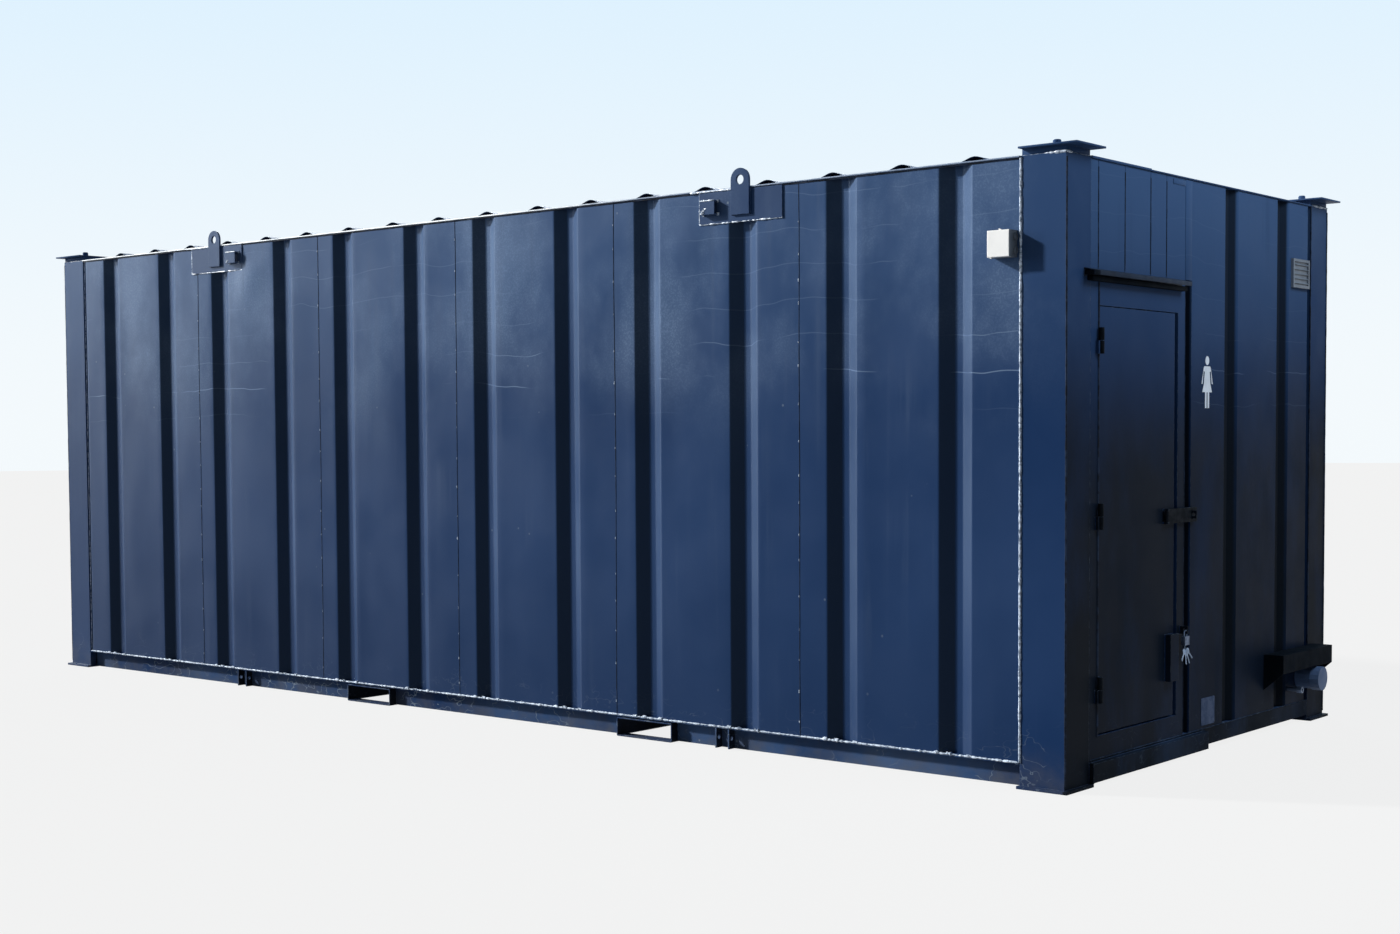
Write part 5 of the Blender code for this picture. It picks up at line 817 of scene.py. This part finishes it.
def metal(name, colour, rough, brushed=0.25, wear_colour=None, shade=0.55, metallic=1.0, gloss=0.5):
    """Bare or blacked metal with patchy dulling and fine scratches."""
    made, tree, shader = new_finish(name)
    edges = use_effect(tree, edge_wear, Radius=0.0015)
    patchy = fall(tree, grain(tree, 28.0, 4.0, 0.6), 0.35, 0.70)
    darker = tuple(c * shade for c in colour[:3]) + (1.0,)
    tone = blend(tree, patchy, colour, darker)
    scratches = grain(tree, 60.0, 3.0, 0.6, stretch=(1.0, 1.0, 9.0))
    feed(tree, shader, blend(tree, edges["Rubbed"], tone, wear_colour or colour),
         fall(tree, patchy, 0.0, 1.0, rough, rough + 0.16),
         {"Height": scratches, "Normal": edges["Round"], "Strength": brushed, "Distance": 0.0005})
    shader.inputs["Metallic"].default_value = metallic
    shader.inputs["Specular IOR Level"].default_value = gloss
    return made


black_steel = metal("blacked_steel", (0.0070, 0.0095, 0.0140, 1.0), 0.50, 0.3, (0.045, 0.050, 0.058, 1.0),
                    metallic=0.0, gloss=0.02)
zinc = metal("dull_zinc", (0.090, 0.125, 0.200, 1.0), 0.38, 0.25, (0.30, 0.36, 0.46, 1.0))
key_brass = metal("plated_brass", (0.210, 0.280, 0.400, 1.0), 0.34, 0.25)
coat(black_steel, "hasp_strap")
coat(zinc, "padlock", "water_inlet")

# Hinge sleeves: the two halves of each hinge, one on the frame and one on the door
HINGE_HEIGHTS = (0.400, 1.130, 1.865)
HINGE_OUT, HINGE_IN, HALF_APART = 0.014, 0.279, 0.0280
SLEEVE_RADIUS, SLEEVE_LENGTH = 0.0122, 0.0530
for body, side in (("cabin", -1), ("entrance_door", 1)):
    sleeves = bmesh.new()
    for up in HINGE_HEIGHTS:
        place = Matrix.Translation(at(-HINGE_OUT, HINGE_IN, up + side * HALF_APART))
        bmesh.ops.create_cone(sleeves, cap_ends=True, segments=28, radius1=SLEEVE_RADIUS, radius2=SLEEVE_RADIUS,
                              depth=SLEEVE_LENGTH, matrix=place)
    rims = [e for e in sleeves.edges if abs(e.verts[0].co.z - e.verts[1].co.z) < 1e-6]
    round_edges(sleeves, rims, 0.0012)
    add_piece("hinge_sleeves_" + body, sleeves, black_steel, body=body)

# Keys: four pressed blanks left hanging on a ring under the padlock
KEY_SIZE = 1.20
KEY_TILT = -0.13
RING_RADIUS, RING_ROD = 0.013, 0.0009
BOW_RADIUS = 0.0115
KEY_BLADE = [(-0.0040, -0.022), (-0.0040, -0.052), (0.0, -0.056), (0.0040, -0.052), (0.0022, -0.047),
             (0.0040, -0.043), (0.0015, -0.038), (0.0040, -0.033), (0.0025, -0.029), (0.0040, -0.022)]
padlock_low, padlock_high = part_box("padlock")
hang = (padlock_low + padlock_high) / 2
hang.z = padlock_low.z


def ring(bm, centre, axis, radius, rod):
    """A round wire ring, spun from a small circle."""
    middle = Matrix.Translation(centre) @ axis.to_track_quat("Z", "Y").to_matrix().to_4x4()
    place = middle @ Matrix.Translation((radius, 0, 0)) @ Matrix.Rotation(math.pi / 2, 4, "X")
    disc = bmesh.ops.create_circle(bm, segments=8, radius=rod, matrix=place)["verts"]
    edges = list({e for v in disc for e in v.link_edges})
    bmesh.ops.spin(bm, geom=disc + edges, cent=centre, axis=axis, angle=2 * math.pi, steps=20, use_merge=True)


def draw_out(bm, outline, way):
    """A flat outline drawn out into a solid."""
    face = bm.faces.new([bm.verts.new(point) for point in outline])
    grown = only_verts(bmesh.ops.extrude_face_region(bm, geom=[face])["geom"])
    bmesh.ops.translate(bm, vec=way, verts=grown)


def join_up(bm):
    """Joins points that meet, and turns every face outward."""
    bmesh.ops.remove_doubles(bm, verts=bm.verts[:], dist=1e-6)
    bmesh.ops.recalc_face_normals(bm, faces=bm.faces[:])


def hang_key(bm, top, lean):
    """A key: a round bow, a flat blade and three cuts in its edge."""
    place = Matrix.Translation(top) @ Matrix.Rotation(KEY_TILT, 4, "Y") @ Matrix.Rotation(lean, 4, "X")
    turns = [math.pi * (0.5 + 2 * step / 20) for step in range(21)]
    bow = [(BOW_RADIUS * math.cos(turn), BOW_RADIUS * math.sin(turn) - 0.011) for turn in turns]
    bow = [point for point in bow if point[1] > -0.0205]
    right = sorted((point for point in bow if point[0] >= 0), key=lambda point: point[1])
    outline = [point for point in bow if point[0] < 0] + KEY_BLADE + right
    corners = [place @ Vector((-0.001, a * KEY_SIZE, b * KEY_SIZE)) for a, b in outline]
    draw_out(bm, corners, place.to_3x3() @ Vector((0.002, 0, 0)))


keys = bmesh.new()
ring(keys, hang + Vector((0, 0, -0.010)), Vector((1, 0.25, 0)).normalized(), RING_RADIUS, RING_ROD)
for lean, drop in ((-0.72, -0.019), (-0.15, -0.022), (0.30, -0.022), (0.80, -0.018)):
    hang_key(keys, hang + Vector((0.002 + 0.0015 * lean, 0.008 * lean, drop)), lean)
join_up(keys)
add_piece("padlock_keys", keys, key_brass, body="padlock", angle=30.0)

# ----------------
# Ventilator and services on the entrance end: a louvre over an extractor fan, a folded hood over the waste
# pipe's end and its push-on cap, and the water inlet with its hose union.


def moulded(name, colour, rough, dirt_and_shade, tone=0.80, peel=120.0, rounding=0.002, gloss=0.5):
    """Moulded plastic or enamel, with a little uneven tone, rounded edges and grime."""
    made, tree, shader = new_finish(name)
    edges = use_effect(tree, edge_wear, Radius=rounding)
    marks = use_effect(tree, weather_and_light, Dust_height=0.35)
    darker = tuple(c * tone for c in colour[:3]) + (1.0,)
    shades = blend(tree, fall(tree, grain(tree, 9.0, 4.0, 0.6), 0.38, 0.72), colour, darker)
    shades = blend(tree, times(tree, marks["Streaks"], dirt_and_shade), shades, (0.22, 0.20, 0.17, 1.0))
    shades = blend(tree, times(tree, marks["Dust"], dirt_and_shade), shades, ROAD_DUST)
    feed(tree, shader, shades, fall(tree, grain(tree, 22.0, 4.0), 0.3, 0.7, rough - 0.06, rough + 0.08),
         {"Height": grain(tree, peel, 2.0), "Normal": edges["Round"], "Strength": 0.15, "Distance": 0.0004})
    shader.inputs["Specular IOR Level"].default_value = gloss
    return made


waste_plastic = moulded("waste_grey", (0.095, 0.155, 0.300, 1.0), 0.50, 0.2, gloss=0.2)
vent_plastic = moulded("vent_grey", (0.130, 0.155, 0.200, 1.0), 0.48, 0.3, tone=0.75)
fan_plastic = moulded("fan_grey", (0.09, 0.10, 0.11, 1.0), 0.40, 0.2)
drip_coat = moulded("drip_black", (0.0050, 0.0080, 0.0130, 1.0), 0.60, 0.02, tone=0.6, gloss=0.010)
coat(waste_plastic, "soil_pipe", "soil_pipe_cap")
coat(vent_plastic, "vent_louvre")
coat(fan_plastic, "fan_impeller")
coat(drip_coat, "services_hood")
SCREEN_SHARE = 0.84
vent_low, vent_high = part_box("vent_louvre")
vent_size = (vent_high - vent_low) * SCREEN_SHARE
screen = bmesh.new()
screen_middle = Vector((vent_high.x - 0.0075, (vent_low.y + vent_high.y) / 2, (vent_low.z + vent_high.z) / 2))
add_block(screen, screen_middle, (0.0012, vent_size.y, vent_size.z))
add_piece("vent_screen", screen, vent_plastic)

# ----------------
# Door canopy. A slim blade folded from steel sheet, with a turned-down lip, that sheds the rain over the
# door. A flat bar runs along its back, and a dark strip under it is painted shade.
CANOPY_START, CANOPY_LENGTH = 0.150, 0.915
CANOPY_BAR = (0.0040, 0.990, 0.009)
CANOPY_FOLD = [(-0.0003, 2.162), (-0.050, 2.150), (-0.050, 2.131), (-0.0475, 2.131), (-0.0475, 2.1472),
               (-0.0028, 2.1580), (-0.0028, 2.126), (-0.0003, 2.126)]
blade_coat = moulded("canopy_enamel", (0.0240, 0.0350, 0.0600, 1.0), 0.50, 0.05, tone=0.7, gloss=0.03)
blade = bmesh.new()
draw_out(blade, [at(out, CANOPY_START, up) for out, up in CANOPY_FOLD], (0, CANOPY_LENGTH, 0))
add_block(blade, at(-0.0023, 0.655, 2.151), CANOPY_BAR)
round_edges(blade, blade.edges[:], 0.0006)
bmesh.ops.recalc_face_normals(blade, faces=blade.faces[:])
blade_piece = add_piece("door_canopy_blade", blade, blade_coat)
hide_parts("door_canopy")
# Painted shade: a dark strip under the canopy
shadow_strip = bmesh.new()
add_block(shadow_strip, at(-0.016, 0.6175, 2.1195), (0.028, 0.885, 0.021))
add_block(shadow_strip, at(-0.027, 0.1750, 2.1405), (0.0485, 0.048, 0.019))
round_edges(shadow_strip, shadow_strip.edges[:], 0.0025, 3)
add_piece("canopy_shadow_strip", shadow_strip, drip_coat)

# ----------------
# Junction box for the supply cable. White moulded plastic, its lid held by two clips, with knock-outs at
# the side. The side that faces the entrance end is painted darker, as shade.
BOX_SIDE_SHADE = (0.130, 0.150, 0.180, 1.0)
BOX_MIDDLE = 2.2625
KNOCK_OUT_OFF, KNOCK_OUT_IN = 0.02775, 0.028
box_plastic = moulded("box_white", (0.86, 0.86, 0.855, 1.0), 0.40, 0.25, tone=0.95)
box_grey = moulded("box_grey", (0.120, 0.140, 0.170, 1.0), 0.45, 0.2, tone=0.8, gloss=0.2)
# Painted shade on the lid's side that faces the entrance end
overlay(box_plastic, lambda tree: fall(tree, turned_to(tree, "X"), 0.60, 0.80), BOX_SIDE_SHADE)
coat(box_plastic, "junction_box_lid")
coat(box_grey, "junction_box")
knock_outs = bmesh.new()
box_low, box_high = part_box("junction_box")
for up in (BOX_MIDDLE - KNOCK_OUT_OFF, BOX_MIDDLE + KNOCK_OUT_OFF):
    for size, rod in ((0.0150, 0.0012), (0.0125, 0.0010)):
        ring(knock_outs, Vector((box_high.x, box_low.y + KNOCK_OUT_IN, up)), Vector((1, 0, 0)), size, rod)
join_up(knock_outs)
add_piece("box_knock_outs", knock_outs, box_grey)
clips = bmesh.new()
lid_low, lid_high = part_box("junction_box_lid")
for share, up in ((0.60, lid_high.z), (0.12, lid_low.z)):
    spot = Vector((lid_low.x + (lid_high.x - lid_low.x) * share, lid_low.y + 0.006, up))
    add_block(clips, spot, (0.020, 0.009, 0.005), Matrix.Rotation(0.45, 4, "Y"))
round_edges(clips, clips.edges[:], 0.0011)
add_piece("box_clips", clips, box_plastic)

# ----------------
# Signs. A woman's figure cut from pale vinyl and stuck on the wall beside the door, and a bare aluminium
# plate on four rivets at the wall's foot.
vinyl = moulded("sign_vinyl", (0.80, 0.85, 0.95, 1.0), 0.34, 0.25, tone=0.88, rounding=0.0002)
SIGN_TOP, SIGN_FOOT, SIGN_MIDDLE, SIGN_HALF = 1.828, 1.590, 1.335, 0.060
HEAD_DOWN, HEAD_RADIUS = 0.085, 0.0205
HALF_BODY = [
    (0.0, 0.195), (0.50, 0.195), (0.62, 0.225), (0.96, 0.50), (1.0, 0.53), (0.93, 0.54), (0.80, 0.53),
    (0.64, 0.29), (0.44, 0.30), (0.58, 0.54), (0.84, 0.68), (0.84, 0.695), (0.37, 0.695), (0.37, 1.0),
    (0.08, 1.0), (0.08, 0.695), (0.0, 0.695),
]


def sign_point(sideways, down):
    """A point of the figure: sideways in half widths, and down from its top in parts of its height."""
    return at(-0.0006, SIGN_MIDDLE + sideways * SIGN_HALF, SIGN_TOP - down * (SIGN_TOP - SIGN_FOOT))


figure = bmesh.new()
figure.faces.new([figure.verts.new(sign_point(a, b)) for a, b in HALF_BODY])
twin = bmesh.ops.duplicate(figure, geom=figure.verts[:] + figure.edges[:] + figure.faces[:])["geom"]
for vert in only_verts(twin):
    vert.co.y = 2 * at(0, SIGN_MIDDLE, 0).y - vert.co.y
bmesh.ops.remove_doubles(figure, verts=figure.verts[:], dist=1e-6)
upright = Matrix.Rotation(math.pi / 2, 4, "Y")
head_place = Matrix.Translation(sign_point(0, HEAD_DOWN)) @ upright
bmesh.ops.create_circle(figure, cap_ends=True, segments=32, radius=HEAD_RADIUS, matrix=head_place)
bmesh.ops.triangulate(figure, faces=figure.faces[:])
bmesh.ops.recalc_face_normals(figure, faces=figure.faces[:])
bmesh.ops.reverse_faces(figure, faces=[face for face in figure.faces if face.normal.x < 0])
thicken(add_piece("sign_figure", figure, vinyl), "Vinyl", 0.0004)

PLATE_SIZE = (0.0012, 0.143, 0.127)
RIVET_RUN, RIVET_RISE, RIVET_RADIUS = 0.064, 0.056, 0.0035
plate_metal = metal("plate_aluminium", (0.048, 0.080, 0.165, 1.0), 0.55, 0.4, shade=0.75, metallic=0.0,
                    gloss=0.15)
plate = bmesh.new()
plate_middle = at(-0.0008, 1.3645, 0.1875)
add_block(plate, plate_middle, PLATE_SIZE)
round_edges(plate, [e for e in plate.edges if abs(e.verts[0].co.x - e.verts[1].co.x) > 0.001], 0.006, 4)
for sideways in (-RIVET_RUN, RIVET_RUN):
    for up in (-RIVET_RISE, RIVET_RISE):
        place = Matrix.Translation(plate_middle + Vector((0.0008, sideways, up))) @ upright
        bmesh.ops.create_uvsphere(plate, u_segments=14, v_segments=8, radius=RIVET_RADIUS,
                                  matrix=place @ Matrix.Diagonal((1.0, 1.0, 0.45, 1.0)))
add_piece("label_plate", plate, plate_metal)

# ----------------
# Rooms. Pale boards screwed to walls and ceiling, a sheet floor, laminate cubicles on their pivots, glazed
# pans, cisterns and basin, and chromed taps, levers and bolts.
board = moulded("lining_board", (0.70, 0.71, 0.69, 1.0), 0.50, 0.15, tone=0.94)
laminate = moulded("cubicle_laminate", (0.16, 0.26, 0.36, 1.0), 0.36, 0.1, tone=0.90)
floor_sheet = moulded("floor_sheet", (0.13, 0.14, 0.155, 1.0), 0.50, 0.3, tone=0.6, peel=400.0)
glaze = moulded("white_glaze", (0.80, 0.81, 0.79, 1.0), 0.12, 0.05, tone=0.96)
white_moulding = moulded("white_moulding", (0.74, 0.75, 0.74, 1.0), 0.32, 0.1, tone=0.95)
chrome = metal("chrome_plate", (0.78, 0.79, 0.80, 1.0), 0.10, 0.05, shade=0.85)
coat(board, "wall_lining", "ceiling_lining", "door_inner_panel")
coat(laminate, "cubicle_partitions", "cubicle_door_1", "cubicle_door_2")
coat(floor_sheet, "floor_deck")
coat(glaze, "wc_pan_1", "wc_pan_2", "cistern_1", "cistern_2", "wash_basin")
coat(white_moulding, "wc_seat_1", "wc_seat_2", "water_heater", "ceiling_light")
coat(chrome, "cubicle_bolt_1", "cubicle_bolt_2", "flush_lever_1", "flush_lever_2", "mixer_tap", "tap_lever")

# ----------------
# Ground, sky, light and camera. A plain pale floor and an even sky, a low sun over the near side from the
# rear left, weak lamps for the shaded sides, and the view from the photograph's place.
FLOOR_GREY, FLOOR_SEEN = (0.34, 0.34, 0.34, 1.0), (0.985, 0.987, 0.987, 1.0)
SKY_LOW, SKY_HIGH = (0.90, 0.95, 0.98, 1.0), (0.70, 0.87, 1.0, 1.0)
SKY_LIGHT = 0.14


def background_rays(tree):
    """A mask for what the camera sees, straight or in a gloss or a glass."""
    rays = add_node(tree, "LightPath").outputs
    mirrored = count(tree, "MAXIMUM", rays["Is Glossy Ray"], rays["Is Transmission Ray"])
    return count(tree, "MAXIMUM", rays["Is Camera Ray"], mirrored)


ground = bmesh.new()
bmesh.ops.create_circle(ground, cap_ends=True, segments=96, radius=78.0)
floor_mesh = bpy.data.meshes.new("ground")
ground.to_mesh(floor_mesh)
ground.free()
floor = bpy.data.objects.new("ground", floor_mesh)
bpy.context.scene.collection.objects.link(floor)
pale = bpy.data.materials.new("pale_ground")
pale.use_nodes = True
tree = pale.node_tree
tree.nodes.clear()
lit = add_node(tree, "BsdfDiffuse", {"Color": FLOOR_GREY}).outputs[0]
even = add_node(tree, "Emission", {"Color": FLOOR_SEEN, "Strength": 1.0}).outputs[0]
share = times(tree, background_rays(tree), 0.85)
surface = add_node(tree, "MixShader", {0: share, 1: lit, 2: even}).outputs[0]
tree.links.new(surface, add_node(tree, "OutputMaterial").inputs["Surface"])
floor_mesh.materials.append(pale)
floor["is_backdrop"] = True

world = bpy.data.worlds.new("sky")
bpy.context.scene.world = world
world.use_nodes = True
tree = world.node_tree
tree.nodes.clear()
way_up = add_node(tree, "SeparateXYZ", {0: add_node(tree, "TexCoord").outputs["Generated"]}).outputs["Z"]
sky = blend(tree, fall(tree, way_up, 0.0, 0.30), SKY_LOW, SKY_HIGH)
strength = count(tree, "MULTIPLY_ADD", background_rays(tree), 1.0 - SKY_LIGHT, SKY_LIGHT)
tree.links.new(add_node(tree, "Background", {"Color": sky, "Strength": strength}).outputs[0],
               add_node(tree, "OutputWorld").inputs["Surface"])


def add_lamp(name, kind, power, colour, way=None, place=(0, 0, 0), **settings):
    """A lamp that shines along a way, or straight down."""
    data = bpy.data.lights.new(name, kind)
    data.energy = power
    data.color = colour
    for key, value in settings.items():
        setattr(data, key, value)
    lamp = bpy.data.objects.new(name, data)
    turn = Vector(way).to_track_quat("-Z", "Y").to_matrix().to_4x4() if way else Matrix()
    lamp.matrix_world = Matrix.Translation(place) @ turn
    bpy.context.scene.collection.objects.link(lamp)


add_lamp("lamp", "SUN", 5.0, (1.0, 0.985, 0.96), (2.0, 1.0, -1.05), angle=math.radians(4.0))

# Two weak broad ones from the side and from behind, so that shaded grooves can be read
PALE_BLUE = (0.90, 0.95, 1.0)
add_lamp("side_lamp", "SUN", 0.9, PALE_BLUE, (0.93, 0.42, -0.16), angle=math.radians(20.0))
add_lamp("back_lamp", "SUN", 0.9, PALE_BLUE, (0.62, -0.70, -0.36), angle=math.radians(20.0))

# A soft box over the entrance end, which is in the sun's shade, and the room's own ceiling light, for when
# the door stands open
add_lamp("soft_box", "AREA", 135.0, (0.78, 0.90, 1.0), (-3.0, 0.0, -2.6), (6.6, 0.0, 5.2), shape="RECTANGLE",
         size=3.0, size_y=2.0)
light_low, light_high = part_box("ceiling_light")
under_light = ((light_low.x + light_high.x) / 2, (light_low.y + light_high.y) / 2, light_low.z - 0.012)
add_lamp("room_lamp", "AREA", 60.0, (1.0, 1.0, 1.0), None, under_light, shape="RECTANGLE",
         size=light_high.x - light_low.x, size_y=0.06)

CAMERA_PLACE = (7.36548, -8.35201, 1.49175)
CAMERA_YAW, CAMERA_PITCH, CAMERA_ROLL = 0.703985, -0.0461022, -0.0063058
FOCAL_PIXELS, FRAME_WIDTH, FRAME_HEIGHT = 1908.877, 1400, 934
MIDDLE_ACROSS, MIDDLE_DOWN = 662.66, 520.99
SENSOR_WIDTH = 36.0
camera_data = bpy.data.cameras.new("camera")
camera_data.sensor_width = SENSOR_WIDTH
camera_data.lens = FOCAL_PIXELS / FRAME_WIDTH * SENSOR_WIDTH
camera_data.shift_x = (FRAME_WIDTH / 2 - MIDDLE_ACROSS) / FRAME_WIDTH
camera_data.shift_y = (MIDDLE_DOWN - FRAME_HEIGHT / 2) / FRAME_WIDTH
camera_data.clip_end = 400.0
camera = bpy.data.objects.new("camera", camera_data)
turn = Matrix.Rotation(CAMERA_YAW, 4, "Z") @ Matrix.Rotation(math.pi / 2 + CAMERA_PITCH, 4, "X")
camera.matrix_world = Matrix.Translation(CAMERA_PLACE) @ turn @ Matrix.Rotation(CAMERA_ROLL, 4, "Z")
bpy.context.scene.collection.objects.link(camera)
bpy.context.scene.camera = camera
bpy.context.scene.view_settings.view_transform = "Standard"

low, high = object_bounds()
